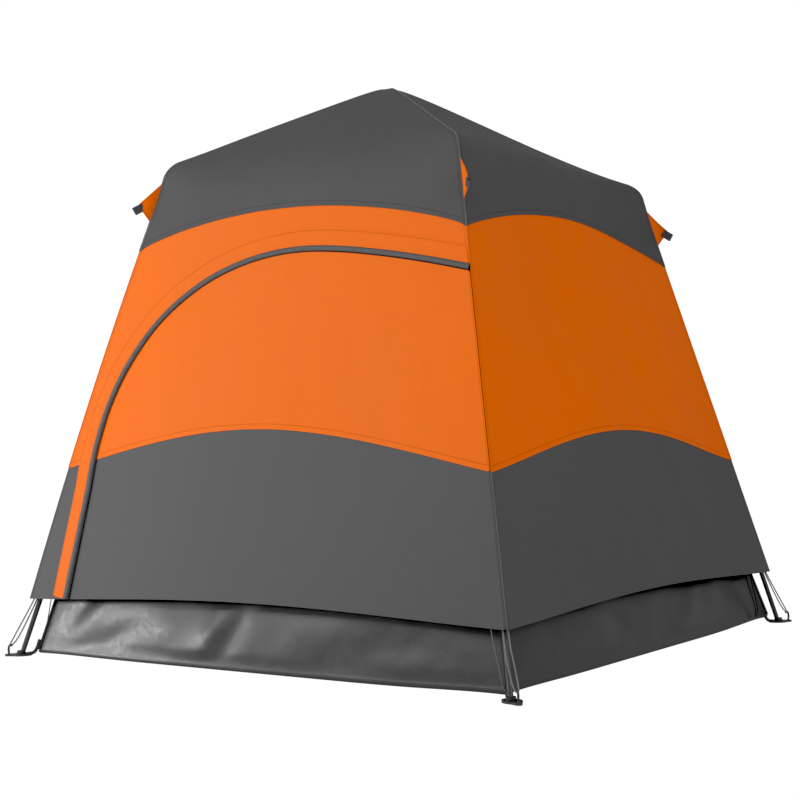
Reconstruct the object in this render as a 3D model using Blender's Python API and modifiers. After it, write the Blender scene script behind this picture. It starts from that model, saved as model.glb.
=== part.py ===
"""Pop-up tent: a four-legged hub frame that telescopes and folds flat, under an inner tent and a rain fly.

The tent stands on the origin, +Z up, with its door facing -Y. Lengths are in metres.
"""

import math

import bmesh
import bpy
from mathutils import Matrix, Vector

# Rain fly: four walls that lean in to a square of shoulders, and a pyramid roof.
BASE_HALF = 0.98
SHOULDER_HALF = 0.59
SHOULDER_Z = 1.61
PEAK_Z = 1.935
HEM_Z = 0.19
LOW_SEAM_Z = 0.61
LOW_SEAM_RISE = 0.13
HIGH_SEAM_Z = 1.34
HIGH_SEAM_RISE = 0.09
FLY_THICKNESS = 0.0012
SEAM_GAP = 0.0003
WALL_LEAN = (BASE_HALF - SHOULDER_HALF) / SHOULDER_Z

# Door of the fly: a zip that rises beside the left corner and arches over to the right one.
ZIP_FOOT_U = -0.765
ZIP_STRAIGHT_TOP = (-0.73, 0.60)
ZIP_CROWN = (0.03, 1.30)
ZIP_END_DROP = 0.105
ZIP_END_CURVE = 1.3
ZIP_HALF_WIDTH = 0.006
ZIP_EDGE_GAP = 0.0005
SLIDER_Z = 0.24
SLIDER_SIZE = (0.010, 0.022, 0.005)
PULL_SIZE = (0.007, 0.030, 0.002)
SLIDER_LIFT = 0.0004

# Inner tent and its waterproof floor, parallel to the fly walls.
INNER_INSET = 0.06
INNER_THICKNESS = 0.001
TUB_HEIGHT = 0.24
INNER_WALL_TOP = 1.497
INNER_ROOF_BASE = 1.50
INNER_PEAK_Z = 1.76
INNER_GAP = 0.0015
DOORWAY_HALF = 0.40
DOORWAY_SPRING_Z = 0.85
DOORWAY_TOP_Z = 1.25
DOOR_CLEARANCE = 0.0015

# Frame, drawn in the upright plane through the tent's axis and one corner.
HUB_PIVOT = (0.045, 1.845)
SHOULDER_PIVOT = (0.806, 1.584)
FOOT_POINT = (1.352, 0.0)
POLE_RADIUS = 0.008
UPPER_RADIUS = 0.0095
LOWER_RADIUS = 0.008
TUBE_WALL = 0.001
EYE_WIDTH = 0.012
EYE_RADIUS = 0.008
EYE_LENGTH = 0.024
PIN_RADIUS = 0.0025
PIN_CLEARANCE = 0.0003
SIDE_CLEARANCE = 0.0003
TUBE_START = 0.014

# Hub.
HUB_RADIUS = 0.054
HUB_HALF_HEIGHT = 0.014
HUB_SLOT_START = 0.034
HUB_DOME_RADIUS = 0.030
HUB_DOME_TOP = 1.888

# Shoulder joint.
FORK_WALL = 0.004
FORK_BACK = 0.022
FORK_STEP = 0.001
SOCKET_OVERLAP = 0.045
SOCKET_WALL = 0.0035

# Telescoping leg.
UPPER_END = 0.86
LOWER_START = 0.80
LOCK_START = 0.805
LOCK_END = 0.885
LOCK_RADIUS = 0.0135
LOCK_STEP_GAP = 0.0005
BOSS_SIZE = (0.012, 0.018, 0.046)
BOSS_OUT = 0.0215
BUTTON_RADIUS = 0.0055
BUTTON_REACH = (0.0150, 0.0240)
POCKET_BOTTOM = 0.0122
FOOT_RADIUS = 0.014
FOOT_HEIGHT = 0.018

# Webbing, cords and flaps at the corners.
STRAP_START_R = 1.304
STRAP_END_R = 1.398
STRAP_HALF_WIDTH = 0.022
STRAP_CHAMFER = 0.008
STRAP_HOLE_RADIUS = 0.0165
STRAP_Z = 0.0015
STRAP_THICKNESS = 0.002
CORD_RADIUS = 0.0015
CORD_TOP_Z = 0.184
CORD_TOP_R = 1.3225
CORD_SPREAD = 0.005
CORD_LOW = (1.384, 0.030)
CORD_HOOK = (1.391, 0.009)
TAB_BOTTOM_Z = 1.415
TAB_TOP_Z = 1.540
TAB_POINT_Z = 1.468
TAB_REACH = 0.058
TAB_WEB_REACH = 0.085
TAB_WEB_HALF = 0.006
TAB_THICKNESS = 0.0015
TAB_OFFSET = 0.002

CURVE_POINTS = 14
ROUND_SIDES = 24
HOLE_SIDES = 16
MERGE_LIMIT = 0.00005
FACES = ("front", "right", "back", "left")
CORNERS = ("front_right", "back_right", "back_left", "front_left")

# (colour, roughness, metallic)
ORANGE_CLOTH = ((0.93, 0.22, 0.035), 0.7, 0.0)
GREY_CLOTH = ((0.105, 0.11, 0.125), 0.7, 0.0)
FLOOR_CLOTH = ((0.05, 0.053, 0.06), 0.35, 0.0)
INNER_CLOTH = ((0.32, 0.32, 0.34), 0.8, 0.0)
MESH_CLOTH = ((0.03, 0.03, 0.035), 0.85, 0.0)
BLACK_WEBBING = ((0.02, 0.02, 0.022), 0.8, 0.0)
PALE_CORD = ((0.45, 0.46, 0.48), 0.7, 0.0)
DARK_STEEL = ((0.06, 0.062, 0.068), 0.4, 0.8)
BLACK_PLASTIC = ((0.018, 0.018, 0.02), 0.45, 0.0)
ORANGE_PLASTIC = ((0.85, 0.2, 0.03), 0.4, 0.0)


def clear_scene():
    for obj in list(bpy.data.objects):
        bpy.data.objects.remove(obj, do_unlink=True)
    collection = bpy.data.collections.new("pop_up_tent")
    bpy.context.scene.collection.children.link(collection)
    return collection


def material_for(name, look):
    colour, roughness, metallic = look
    material = bpy.data.materials.new(name + "_material")
    material.use_nodes = True
    shader = material.node_tree.nodes["Principled BSDF"]
    shader.inputs["Base Color"].default_value = (*colour, 1.0)
    shader.inputs["Roughness"].default_value = roughness
    shader.inputs["Metallic"].default_value = metallic
    return material


def add_object(name, mesh, look, matrix=None):
    obj = bpy.data.objects.new(name, mesh)
    if matrix is not None:
        obj.matrix_world = matrix
    tent.objects.link(obj)
    mesh.materials.append(material_for(name, look))
    return obj


# Meshes built in a part's own frame


def mesh_from(bm, name="shape"):
    mesh = bpy.data.meshes.new(name)
    bm.to_mesh(mesh)
    bm.free()
    return mesh


def evaluated(mesh, add_modifiers):
    """The mesh after the modifiers that add_modifiers puts on it."""
    holder = bpy.data.objects.new("holder", mesh)
    tent.objects.link(holder)
    add_modifiers(holder)
    graph = bpy.context.evaluated_depsgraph_get()
    result = bpy.data.meshes.new_from_object(holder.evaluated_get(graph))
    bpy.data.objects.remove(holder, do_unlink=True)
    return result


def turned(profile, sides=ROUND_SIDES):
    """A closed (radius, z) outline turned about Z. Its outer side runs from top to bottom."""
    bm = bmesh.new()
    verts = [bm.verts.new((radius, 0.0, z)) for radius, z in profile]
    for first, second in zip(verts, verts[1:] + verts[:1]):
        if profile[verts.index(first)][0] or profile[verts.index(second)][0]:
            bm.edges.new((first, second))

    def add_screw(holder):
        screw = holder.modifiers.new("Screw", "SCREW")
        screw.steps = sides
        screw.render_steps = sides
        screw.use_merge_vertices = True
        screw.merge_threshold = MERGE_LIMIT
        screw.use_smooth_shade = True

    return evaluated(mesh_from(bm), add_screw)


def tube(outer, inner, start, end, sides=ROUND_SIDES):
    return turned([(outer, end), (outer, start), (inner, start), (inner, end)], sides)


def block(size, centre):
    bm = bmesh.new()
    bmesh.ops.create_cube(bm, size=1.0, matrix=Matrix.Translation(centre) @ Matrix.Diagonal((*size, 1.0)))
    return mesh_from(bm)


def rod(radius, centre, length, turn, sides=ROUND_SIDES):
    """A cylinder of this length along Z, turned by the matrix and moved to the centre."""
    bm = bmesh.new()
    bmesh.ops.create_cone(
        bm, cap_ends=True, segments=sides, radius1=radius, radius2=radius, depth=length,
        matrix=Matrix.Translation(centre) @ turn,
    )
    mesh = mesh_from(bm)
    mesh.shade_smooth()
    return mesh


def combined(base, added=(), cut=()):
    """base with the added meshes joined to it, and then the cut ones taken away."""
    result = base
    for others, operation in ((added, "UNION"), (cut, "DIFFERENCE")):
        for other in others:
            tool = bpy.data.objects.new("tool", other)
            tent.objects.link(tool)

            def add_boolean(holder):
                boolean = holder.modifiers.new("Boolean", "BOOLEAN")
                boolean.operation = operation
                boolean.solver = "EXACT"
                boolean.object = tool

            result = evaluated(result, add_boolean)
            bpy.data.objects.remove(tool, do_unlink=True)
    return result


def sheet(polygons, thickness, offset=-1.0):
    """Flat outlines that share corners, sewn into one sheet and thickened away from their front."""
    bm = bmesh.new()
    for polygon in polygons:
        bm.faces.new([bm.verts.new(point) for point in polygon])
    bmesh.ops.remove_doubles(bm, verts=bm.verts, dist=MERGE_LIMIT)

    def add_thickness(holder):
        solidify = holder.modifiers.new("Solidify", "SOLIDIFY")
        solidify.thickness = thickness
        solidify.offset = offset
        solidify.use_even_offset = True

    return evaluated(mesh_from(bm), add_thickness)


# Shapes of the walls. u runs to the right along a wall seen from outside, and z is height.


def fly_half(z):
    return BASE_HALF - WALL_LEAN * z


def inner_half(z):
    return fly_half(z) - INNER_INSET


def on_fly(u, z):
    return Vector((u, -fly_half(z), z))


def on_inner(u, z):
    return Vector((u, -inner_half(z), z))


def fly_limit(z):
    """How far a fly panel reaches along the wall, clear of the next wall's panel."""
    return fly_half(z) - FLY_THICKNESS - ZIP_EDGE_GAP


def inner_limit(z):
    return inner_half(z) - INNER_THICKNESS - ZIP_EDGE_GAP


def seam(corner_z, rise, shift=0.0):
    """The height of a seam that rises to the middle of a wall, as a function of u."""
    half = fly_half(corner_z)

    def height(u):
        return corner_z + rise * (1.0 - (u / half) ** 2) + shift

    return height


def along(height, start_u, end_u):
    """Points (u, z) along a seam."""
    steps = [start_u + (end_u - start_u) * i / CURVE_POINTS for i in range(CURVE_POINTS + 1)]
    return [(u, height(u)) for u in steps]


def zip_path():
    """The zip's middle line (u, z), from the hem up beside the left corner and over to the right one."""
    top_u, top_z = ZIP_CROWN
    side_u, side_z = ZIP_STRAIGHT_TOP
    path = [(ZIP_FOOT_U, HEM_Z)]
    for i in range(CURVE_POINTS + 1):
        angle = math.radians(90.0 * i / CURVE_POINTS)
        path.append((top_u + (side_u - top_u) * math.cos(angle), side_z + (top_z - side_z) * math.sin(angle)))
    end_z = top_z - ZIP_END_DROP
    end_u = fly_limit(end_z) - ZIP_HALF_WIDTH
    for i in range(1, CURVE_POINTS + 1):
        share = i / CURVE_POINTS
        path.append((top_u + (end_u - top_u) * share, top_z - ZIP_END_DROP * share**ZIP_END_CURVE))
    return path


def beside(path, distance):
    """The path moved sideways, to its left as it runs."""
    moved = []
    for i, point in enumerate(path):
        before = Vector(path[max(i - 1, 0)])
        after = Vector(path[min(i + 1, len(path) - 1)])
        run = (after - before).normalized()
        moved.append((point[0] - run.y * distance, point[1] + run.x * distance))
    return moved


def split_at(path, height):
    """The path's part below a seam and its part above, which share the point on it."""
    for i, (u, z) in enumerate(path):
        if z > height(u):
            break
    low_u, low_z = path[i - 1]
    low_gap = height(low_u) - low_z
    share = low_gap / (low_gap + z - height(u))
    crossing = (low_u + (u - low_u) * share, low_z + (z - low_z) * share)
    return path[:i] + [crossing], [crossing] + path[i:]


def wall_panel(name, outline, place, thickness, look, quarter):
    mesh = sheet([[place(u, z) for u, z in outline]], thickness)
    return add_object(name, mesh, look, Matrix.Rotation(quarter, 4, "Z"))


# Rain fly


def make_fly_roof(face, quarter):
    """One side of the roof, with the grey top of the wall below it."""
    gap = FLY_THICKNESS + ZIP_EDGE_GAP
    slope = (PEAK_Z - SHOULDER_Z) / SHOULDER_HALF
    reach = SHOULDER_HALF - gap
    left = Vector((-reach, -SHOULDER_HALF, SHOULDER_Z))
    right = Vector((reach, -SHOULDER_HALF, SHOULDER_Z))
    peak = Vector((0.0, -gap, PEAK_Z - slope * gap))
    limit = fly_limit(HIGH_SEAM_Z)
    edge = along(seam(HIGH_SEAM_Z, HIGH_SEAM_RISE, SEAM_GAP), -limit, limit)
    eave = [on_fly(u, z) for u, z in edge] + [right, left]
    mesh = sheet([[left, right, peak], eave], FLY_THICKNESS)
    return add_object("fly_roof_" + face, mesh, GREY_CLOTH, Matrix.Rotation(quarter, 4, "Z"))


def make_side_wall(face, quarter):
    high = seam(HIGH_SEAM_Z, HIGH_SEAM_RISE, -SEAM_GAP)
    low_limit = fly_limit(LOW_SEAM_Z)
    high_limit = fly_limit(HIGH_SEAM_Z)
    hem_limit = fly_limit(HEM_Z)
    band = along(seam(LOW_SEAM_Z, LOW_SEAM_RISE, SEAM_GAP), -low_limit, low_limit)
    band += along(high, high_limit, -high_limit)
    wall_panel("fly_band_" + face, band, on_fly, FLY_THICKNESS, ORANGE_CLOTH, quarter)
    skirt = [(-hem_limit, HEM_Z), (hem_limit, HEM_Z)]
    skirt += along(seam(LOW_SEAM_Z, LOW_SEAM_RISE, -SEAM_GAP), low_limit, -low_limit)
    wall_panel("fly_skirt_" + face, skirt, on_fly, FLY_THICKNESS, GREY_CLOTH, quarter)


def make_front_wall():
    """The fixed cloth round the door, and the door's two panels."""
    edge = ZIP_HALF_WIDTH + ZIP_EDGE_GAP
    jamb = beside(zip_path(), edge)
    door = beside(zip_path(), -edge)
    low_limit = fly_limit(LOW_SEAM_Z)
    high_limit = fly_limit(HIGH_SEAM_Z)
    hem_limit = fly_limit(HEM_Z)
    above = seam(LOW_SEAM_Z, LOW_SEAM_RISE, SEAM_GAP)
    below = seam(LOW_SEAM_Z, LOW_SEAM_RISE, -SEAM_GAP)
    high = seam(HIGH_SEAM_Z, HIGH_SEAM_RISE, -SEAM_GAP)

    upper_jamb = split_at(jamb, above)[1]
    jamb_end = upper_jamb[-1][1]
    band = along(above, -low_limit, upper_jamb[0][0])[:-1] + upper_jamb
    band += [(fly_limit(jamb_end), jamb_end)] + along(high, high_limit, -high_limit)
    wall_panel("fly_band_front", band, on_fly, FLY_THICKNESS, ORANGE_CLOTH, 0.0)

    lower_jamb = split_at(jamb, below)[0]
    skirt = [(-hem_limit, HEM_Z)] + lower_jamb + along(below, lower_jamb[-1][0], -low_limit)[1:]
    wall_panel("fly_skirt_front", skirt, on_fly, FLY_THICKNESS, GREY_CLOTH, 0.0)

    upper_door = split_at(door, above)[1]
    door_end = upper_door[-1][1]
    door_band = along(above, upper_door[0][0], low_limit)
    door_band += [(fly_limit(door_end), door_end)] + upper_door[:0:-1]
    wall_panel("fly_door_band", door_band, on_fly, FLY_THICKNESS, ORANGE_CLOTH, 0.0)

    lower_door = split_at(door, below)[0]
    door_skirt = [(hem_limit, HEM_Z)] + along(below, low_limit, lower_door[-1][0])[:-1] + lower_door[::-1]
    wall_panel("fly_door_skirt", door_skirt, on_fly, FLY_THICKNESS, GREY_CLOTH, 0.0)


def make_zip():
    path = zip_path()
    tape = beside(path, -ZIP_HALF_WIDTH) + beside(path, ZIP_HALF_WIDTH)[::-1]
    wall_panel("zip_tape", tape, on_fly, FLY_THICKNESS, BLACK_WEBBING, 0.0)

    foot = on_fly(ZIP_FOOT_U, HEM_Z)
    top = on_fly(*ZIP_STRAIGHT_TOP)
    up = (top - foot).normalized()
    out = Vector((0.0, -1.0, -WALL_LEAN)).normalized()
    out = (out - up * out.dot(up)).normalized()
    across = up.cross(out)
    turn = Matrix((across, up, out)).transposed().to_4x4()
    start = foot + (top - foot) * ((SLIDER_Z - HEM_Z) / (ZIP_STRAIGHT_TOP[1] - HEM_Z))
    width, length, height = SLIDER_SIZE
    body = block(SLIDER_SIZE, (0.0, 0.0, SLIDER_LIFT + height / 2))
    pull_centre = (0.0, -(length + PULL_SIZE[1]) / 2 + width / 2, SLIDER_LIFT + height - PULL_SIZE[2])
    slider = combined(body, [block(PULL_SIZE, pull_centre)])
    add_object("zip_slider", slider, BLACK_PLASTIC, Matrix.Translation(start) @ turn)


# Inner tent


def doorway(half, top, bottom):
    """The inner doorway's outline (u, z), from its foot on the left over the arch to its foot on the right."""
    outline = [(-half, bottom)]
    for i in range(CURVE_POINTS + 1):
        angle = math.radians(180.0 * i / CURVE_POINTS)
        outline.append((-half * math.cos(angle), DOORWAY_SPRING_Z + (top - DOORWAY_SPRING_Z) * math.sin(angle)))
    return outline + [(half, bottom)]


def make_inner_tent():
    bottom = TUB_HEIGHT + INNER_GAP
    for k, face in enumerate(FACES):
        low = inner_limit(bottom)
        high = inner_limit(INNER_WALL_TOP)
        outline = [(low, bottom), (high, INNER_WALL_TOP), (-high, INNER_WALL_TOP), (-low, bottom)]
        if face == "front":
            outline += doorway(DOORWAY_HALF, DOORWAY_TOP_Z, bottom)
        quarter = math.radians(90 * k)
        wall_panel("inner_wall_" + face, outline, on_inner, INNER_THICKNESS, INNER_CLOTH, quarter)

    leaf = doorway(DOORWAY_HALF - DOOR_CLEARANCE, DOORWAY_TOP_Z - DOOR_CLEARANCE, bottom)
    hinge = on_inner(DOORWAY_HALF, bottom)
    mesh = sheet([[on_inner(u, z) - hinge for u, z in leaf[::-1]]], INNER_THICKNESS)
    add_object("inner_door", mesh, INNER_CLOTH, Matrix.Translation(hinge))

    half = inner_half(INNER_ROOF_BASE)
    peak = Vector((0.0, 0.0, INNER_PEAK_Z))
    ring = [Matrix.Rotation(math.radians(90 * k), 3, "Z") @ Vector((half, -half, INNER_ROOF_BASE)) for k in range(4)]
    roof = [[ring[k - 1], ring[k], peak] for k in range(4)]
    add_object("inner_roof", sheet(roof, INNER_THICKNESS), MESH_CLOTH)


def make_floor_tub():
    floor_half = inner_half(0.0)
    rim_half = inner_half(TUB_HEIGHT)
    turns = [Matrix.Rotation(math.radians(90 * k), 3, "Z") for k in range(4)]
    floor = [turn @ Vector((floor_half, -floor_half, 0.0)) for turn in turns]
    rim = [turn @ Vector((rim_half, -rim_half, TUB_HEIGHT)) for turn in turns]
    sides = [[floor[k - 1], floor[k], rim[k], rim[k - 1]] for k in range(4)]
    add_object("floor_tub", sheet([floor[::-1]] + sides, FLY_THICKNESS), FLOOR_CLOTH)


# Frame. Each limb is built along its own Z, from its pivot outwards, with X in the corner's plane.


def distance(start, end):
    return math.hypot(end[0] - start[0], end[1] - start[1])


def limb_frame(corner_turn, start, end):
    """The world frame of a limb whose pivot is start, both points being (radius, z) in the corner's plane."""
    tilt = math.atan2(end[0] - start[0], end[1] - start[1])
    place = Matrix.Translation((start[0], 0.0, start[1])) @ Matrix.Rotation(tilt, 4, "Y")
    return Matrix.Rotation(corner_turn, 4, "Z") @ place


def across_plane():
    return Matrix.Rotation(math.radians(90), 4, "X")


def lug(radius, width, pivot_z, base_z, middle_y=0.0):
    """A flat tongue, round about its pivot and square at its base."""
    side = math.copysign(1.0, base_z - pivot_z)
    outline = [Vector((-side * radius, middle_y, base_z)), Vector((side * radius, middle_y, base_z))]
    for i in range(CURVE_POINTS + 1):
        angle = math.radians(180.0 * i / CURVE_POINTS)
        rise = side * radius * math.sin(angle)
        outline.append(Vector((side * radius * math.cos(angle), middle_y, pivot_z - rise)))
    return sheet([outline], width, offset=0.0)


def eye(tube_mesh):
    """A tube with a flat eye at its pivot, drilled for the pin."""
    tongue = lug(EYE_RADIUS, EYE_WIDTH, 0.0, EYE_LENGTH)
    hole = rod(PIN_RADIUS + PIN_CLEARANCE, (0.0, 0.0, 0.0), 2 * EYE_WIDTH, across_plane(), HOLE_SIDES)
    return combined(tube_mesh, [tongue], [hole])


def make_hub():
    low = HUB_PIVOT[1] - HUB_HALF_HEIGHT
    high = HUB_PIVOT[1] + HUB_HALF_HEIGHT
    profile = [
        (0.0, HUB_DOME_TOP),
        (HUB_DOME_RADIUS * 0.6, HUB_DOME_TOP - 0.004),
        (HUB_DOME_RADIUS, high),
        (HUB_RADIUS, high),
        (HUB_RADIUS, low),
        (0.0, low),
    ]
    slots = []
    pins = []
    slot_length = HUB_RADIUS * 1.2 - HUB_SLOT_START
    for k in range(4):
        turn = Matrix.Rotation(math.radians(90 * k - 45), 4, "Z")
        slot_size = (slot_length, EYE_WIDTH + 2 * SIDE_CLEARANCE, 4 * HUB_HALF_HEIGHT)
        slot = block(slot_size, (HUB_SLOT_START + slot_length / 2, 0.0, HUB_PIVOT[1]))
        slot.transform(turn)
        slots.append(slot)
        pin = rod(PIN_RADIUS, (HUB_PIVOT[0], 0.0, HUB_PIVOT[1]), EYE_WIDTH * 1.5, across_plane(), HOLE_SIDES)
        pin.transform(turn)
        pins.append(pin)
    slotted = combined(turned(profile), [], slots)
    add_object("hub", combined(slotted, pins), BLACK_PLASTIC)


def roof_pole_mesh():
    length = distance(HUB_PIVOT, SHOULDER_PIVOT)
    return eye(tube(POLE_RADIUS, POLE_RADIUS - TUBE_WALL, TUBE_START, length - FORK_BACK - FORK_WALL - SEAM_GAP))


def shoulder_joint_mesh():
    """A socket over the roof pole's end and a fork with a pin, in the roof pole's frame."""
    length = distance(HUB_PIVOT, SHOULDER_PIVOT)
    back = length - FORK_BACK
    bore = POLE_RADIUS + SIDE_CLEARANCE
    shell = bore + SOCKET_WALL
    socket = turned([(shell, back), (shell, back - SOCKET_OVERLAP), (bore, back - SOCKET_OVERLAP),
                     (bore, back - FORK_WALL), (0.0, back - FORK_WALL), (0.0, back)])
    gap = EYE_WIDTH + 2 * SIDE_CLEARANCE
    web_size = (2 * shell - FORK_STEP, gap + FORK_WALL, FORK_WALL)
    added = [block(web_size, (0.0, 0.0, back - FORK_WALL / 2 + FORK_STEP))]
    for side in (-1, 1):
        added.append(lug(shell - FORK_STEP, FORK_WALL, length, back - FORK_WALL / 2, side * (gap + FORK_WALL) / 2))
    added.append(rod(PIN_RADIUS, (0.0, 0.0, length), gap + FORK_WALL, across_plane(), HOLE_SIDES))
    return combined(socket, added)


def upper_leg_mesh():
    return eye(tube(UPPER_RADIUS, UPPER_RADIUS - TUBE_WALL, TUBE_START, UPPER_END))


def leg_lock_mesh():
    """The plastic housing over the upper leg's end, with a boss that holds its push button."""
    over = UPPER_RADIUS + SIDE_CLEARANCE
    under = LOWER_RADIUS + SIDE_CLEARANCE
    step = UPPER_END + LOCK_STEP_GAP
    shell = turned([(LOCK_RADIUS, LOCK_END), (LOCK_RADIUS, LOCK_START), (over, LOCK_START),
                    (over, step), (under, step), (under, LOCK_END)])
    middle = (LOCK_START + LOCK_END) / 2
    boss = block(BOSS_SIZE, (BOSS_OUT - BOSS_SIZE[0] / 2, 0.0, middle))
    turn = Matrix.Rotation(math.radians(90), 4, "Y")
    depth = 2 * (BOSS_OUT - POCKET_BOTTOM)
    pocket = rod(BUTTON_RADIUS + SIDE_CLEARANCE, (POCKET_BOTTOM + depth / 2, 0.0, middle), depth, turn)
    bore = rod(over, (0.0, 0.0, middle), 2 * BOSS_SIZE[2], Matrix.Identity(4))
    trimmed_boss = combined(boss, [], [bore])
    return combined(shell, [trimmed_boss], [pocket])


def lock_button_mesh():
    start, end = BUTTON_REACH
    turn = Matrix.Rotation(math.radians(90), 4, "Y")
    middle = (LOCK_START + LOCK_END) / 2
    return rod(BUTTON_RADIUS, ((start + end) / 2, 0.0, middle), end - start, turn)


def lower_leg_mesh(frame):
    """The inner tube and its foot, which stands flat on the ground whatever the tube's tilt."""
    length = distance(SHOULDER_PIVOT, FOOT_POINT)
    barrel = tube(LOWER_RADIUS, LOWER_RADIUS - TUBE_WALL, LOWER_START, length - FOOT_RADIUS)
    foot = rod(FOOT_RADIUS, (FOOT_POINT[0], 0.0, FOOT_HEIGHT / 2), FOOT_HEIGHT, Matrix.Identity(4))
    foot.transform(frame.inverted())
    return combined(barrel, [foot])


def make_frame():
    make_hub()
    plain_leg_frame = limb_frame(0.0, SHOULDER_PIVOT, FOOT_POINT)
    pieces = (
        ("roof_pole_", roof_pole_mesh(), DARK_STEEL, HUB_PIVOT, SHOULDER_PIVOT),
        ("shoulder_joint_", shoulder_joint_mesh(), BLACK_PLASTIC, HUB_PIVOT, SHOULDER_PIVOT),
        ("upper_leg_", upper_leg_mesh(), DARK_STEEL, SHOULDER_PIVOT, FOOT_POINT),
        ("leg_lock_", leg_lock_mesh(), BLACK_PLASTIC, SHOULDER_PIVOT, FOOT_POINT),
        ("lock_button_", lock_button_mesh(), ORANGE_PLASTIC, SHOULDER_PIVOT, FOOT_POINT),
        ("lower_leg_", lower_leg_mesh(plain_leg_frame), DARK_STEEL, SHOULDER_PIVOT, FOOT_POINT),
    )
    for k, corner in enumerate(CORNERS):
        turn = math.radians(90 * k - 45)
        for prefix, mesh, look, start, end in pieces:
            add_object(prefix + corner, mesh.copy(), look, limb_frame(turn, start, end))


# Corner fittings, drawn with X out along the corner's diagonal


def strap_curve():
    """A flat webbing end with a grommet hole round the foot."""
    curve = bpy.data.curves.new("corner_strap", "CURVE")
    curve.dimensions = "2D"
    curve.fill_mode = "BOTH"
    curve.extrude = STRAP_THICKNESS / 2
    tip = STRAP_END_R - STRAP_CHAMFER
    shoulder = STRAP_HALF_WIDTH - STRAP_CHAMFER
    outline = [
        (STRAP_START_R, -STRAP_HALF_WIDTH),
        (tip, -STRAP_HALF_WIDTH),
        (STRAP_END_R, -shoulder),
        (STRAP_END_R, shoulder),
        (tip, STRAP_HALF_WIDTH),
        (STRAP_START_R, STRAP_HALF_WIDTH),
    ]
    hole = []
    for i in range(HOLE_SIDES):
        angle = 2 * math.pi * i / HOLE_SIDES
        hole.append((FOOT_POINT[0] + STRAP_HOLE_RADIUS * math.cos(angle), STRAP_HOLE_RADIUS * math.sin(angle)))
    for points in (outline, hole):
        spline = curve.splines.new("POLY")
        spline.points.add(len(points) - 1)
        spline.use_cyclic_u = True
        for point, (x, y) in zip(spline.points, points):
            point.co = (x, y, 0.0, 1.0)
    return curve


def cord_curve():
    """One elastic loop from the fly's hem down to the strap and back."""
    curve = bpy.data.curves.new("shock_cord", "CURVE")
    curve.dimensions = "3D"
    curve.bevel_depth = CORD_RADIUS
    curve.bevel_resolution = 2
    curve.use_fill_caps = True
    points = [
        (CORD_TOP_R, CORD_SPREAD, CORD_TOP_Z),
        (CORD_LOW[0], CORD_SPREAD, CORD_LOW[1]),
        (CORD_HOOK[0], CORD_SPREAD / 2, CORD_HOOK[1]),
        (CORD_HOOK[0], -CORD_SPREAD / 2, CORD_HOOK[1]),
        (CORD_LOW[0], -CORD_SPREAD, CORD_LOW[1]),
        (CORD_TOP_R, -CORD_SPREAD, CORD_TOP_Z),
    ]
    spline = curve.splines.new("POLY")
    spline.points.add(len(points) - 1)
    for point, place in zip(spline.points, points):
        point.co = (*place, 1.0)
    return curve


def guy_tab_mesh():
    """The flap sewn into a shoulder's corner seam, with the webbing loop at its point."""
    root_two = math.sqrt(2)

    def edge(z):
        return root_two * fly_half(z) + TAB_OFFSET

    point_r = edge(TAB_POINT_Z) + TAB_REACH
    web_r = edge(TAB_POINT_Z) + TAB_WEB_REACH
    outline = [
        (edge(TAB_BOTTOM_Z), TAB_BOTTOM_Z),
        (point_r, TAB_POINT_Z - TAB_WEB_HALF),
        (web_r, TAB_POINT_Z - TAB_WEB_HALF),
        (web_r, TAB_POINT_Z + TAB_WEB_HALF),
        (point_r, TAB_POINT_Z + TAB_WEB_HALF),
        (edge(TAB_TOP_Z), TAB_TOP_Z),
    ]
    return sheet([[Vector((r, 0.0, z)) for r, z in outline]], TAB_THICKNESS, offset=0.0)


def make_corner_fittings():
    for k, corner in enumerate(CORNERS):
        turn = Matrix.Rotation(math.radians(90 * k - 45), 4, "Z")
        strap_place = turn @ Matrix.Translation((0.0, 0.0, STRAP_Z))
        add_object("corner_strap_" + corner, strap_curve(), BLACK_WEBBING, strap_place)
        add_object("shock_cord_" + corner, cord_curve(), PALE_CORD, turn)
        add_object("guy_tab_" + corner, guy_tab_mesh(), ORANGE_CLOTH, turn)


tent = clear_scene()
make_frame()
make_floor_tub()
make_inner_tent()
make_front_wall()
make_zip()
for number, side in enumerate(FACES):
    make_fly_roof(side, math.radians(90 * number))
    if side != "front":
        make_side_wall(side, math.radians(90 * number))
make_corner_fittings()
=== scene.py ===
import math
from contextlib import contextmanager

import bmesh
import bpy
import numpy as np
from mathutils import Matrix, Vector
from mathutils.geometry import delaunay_2d_cdt


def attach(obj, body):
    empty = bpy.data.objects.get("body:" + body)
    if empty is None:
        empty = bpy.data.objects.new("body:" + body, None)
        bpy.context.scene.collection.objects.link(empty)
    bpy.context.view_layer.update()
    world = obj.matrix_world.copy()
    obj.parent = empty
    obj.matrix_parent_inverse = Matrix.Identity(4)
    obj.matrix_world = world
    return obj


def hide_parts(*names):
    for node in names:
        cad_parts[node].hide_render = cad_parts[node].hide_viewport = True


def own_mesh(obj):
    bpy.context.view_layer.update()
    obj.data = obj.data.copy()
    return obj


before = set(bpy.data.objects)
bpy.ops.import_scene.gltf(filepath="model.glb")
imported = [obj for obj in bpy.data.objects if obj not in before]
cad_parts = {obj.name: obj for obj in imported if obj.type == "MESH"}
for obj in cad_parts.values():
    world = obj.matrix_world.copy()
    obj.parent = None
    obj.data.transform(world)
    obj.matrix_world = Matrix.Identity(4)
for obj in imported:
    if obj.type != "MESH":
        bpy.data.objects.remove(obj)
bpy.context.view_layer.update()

# The CAD's driving sizes, in metres
BASE_HALF = 0.98
SHOULDER_HALF = 0.59
SHOULDER_Z = 1.61
HEM_Z = 0.19
WALL_LEAN = (BASE_HALF - SHOULDER_HALF) / SHOULDER_Z
INNER_INSET = 0.06
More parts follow.
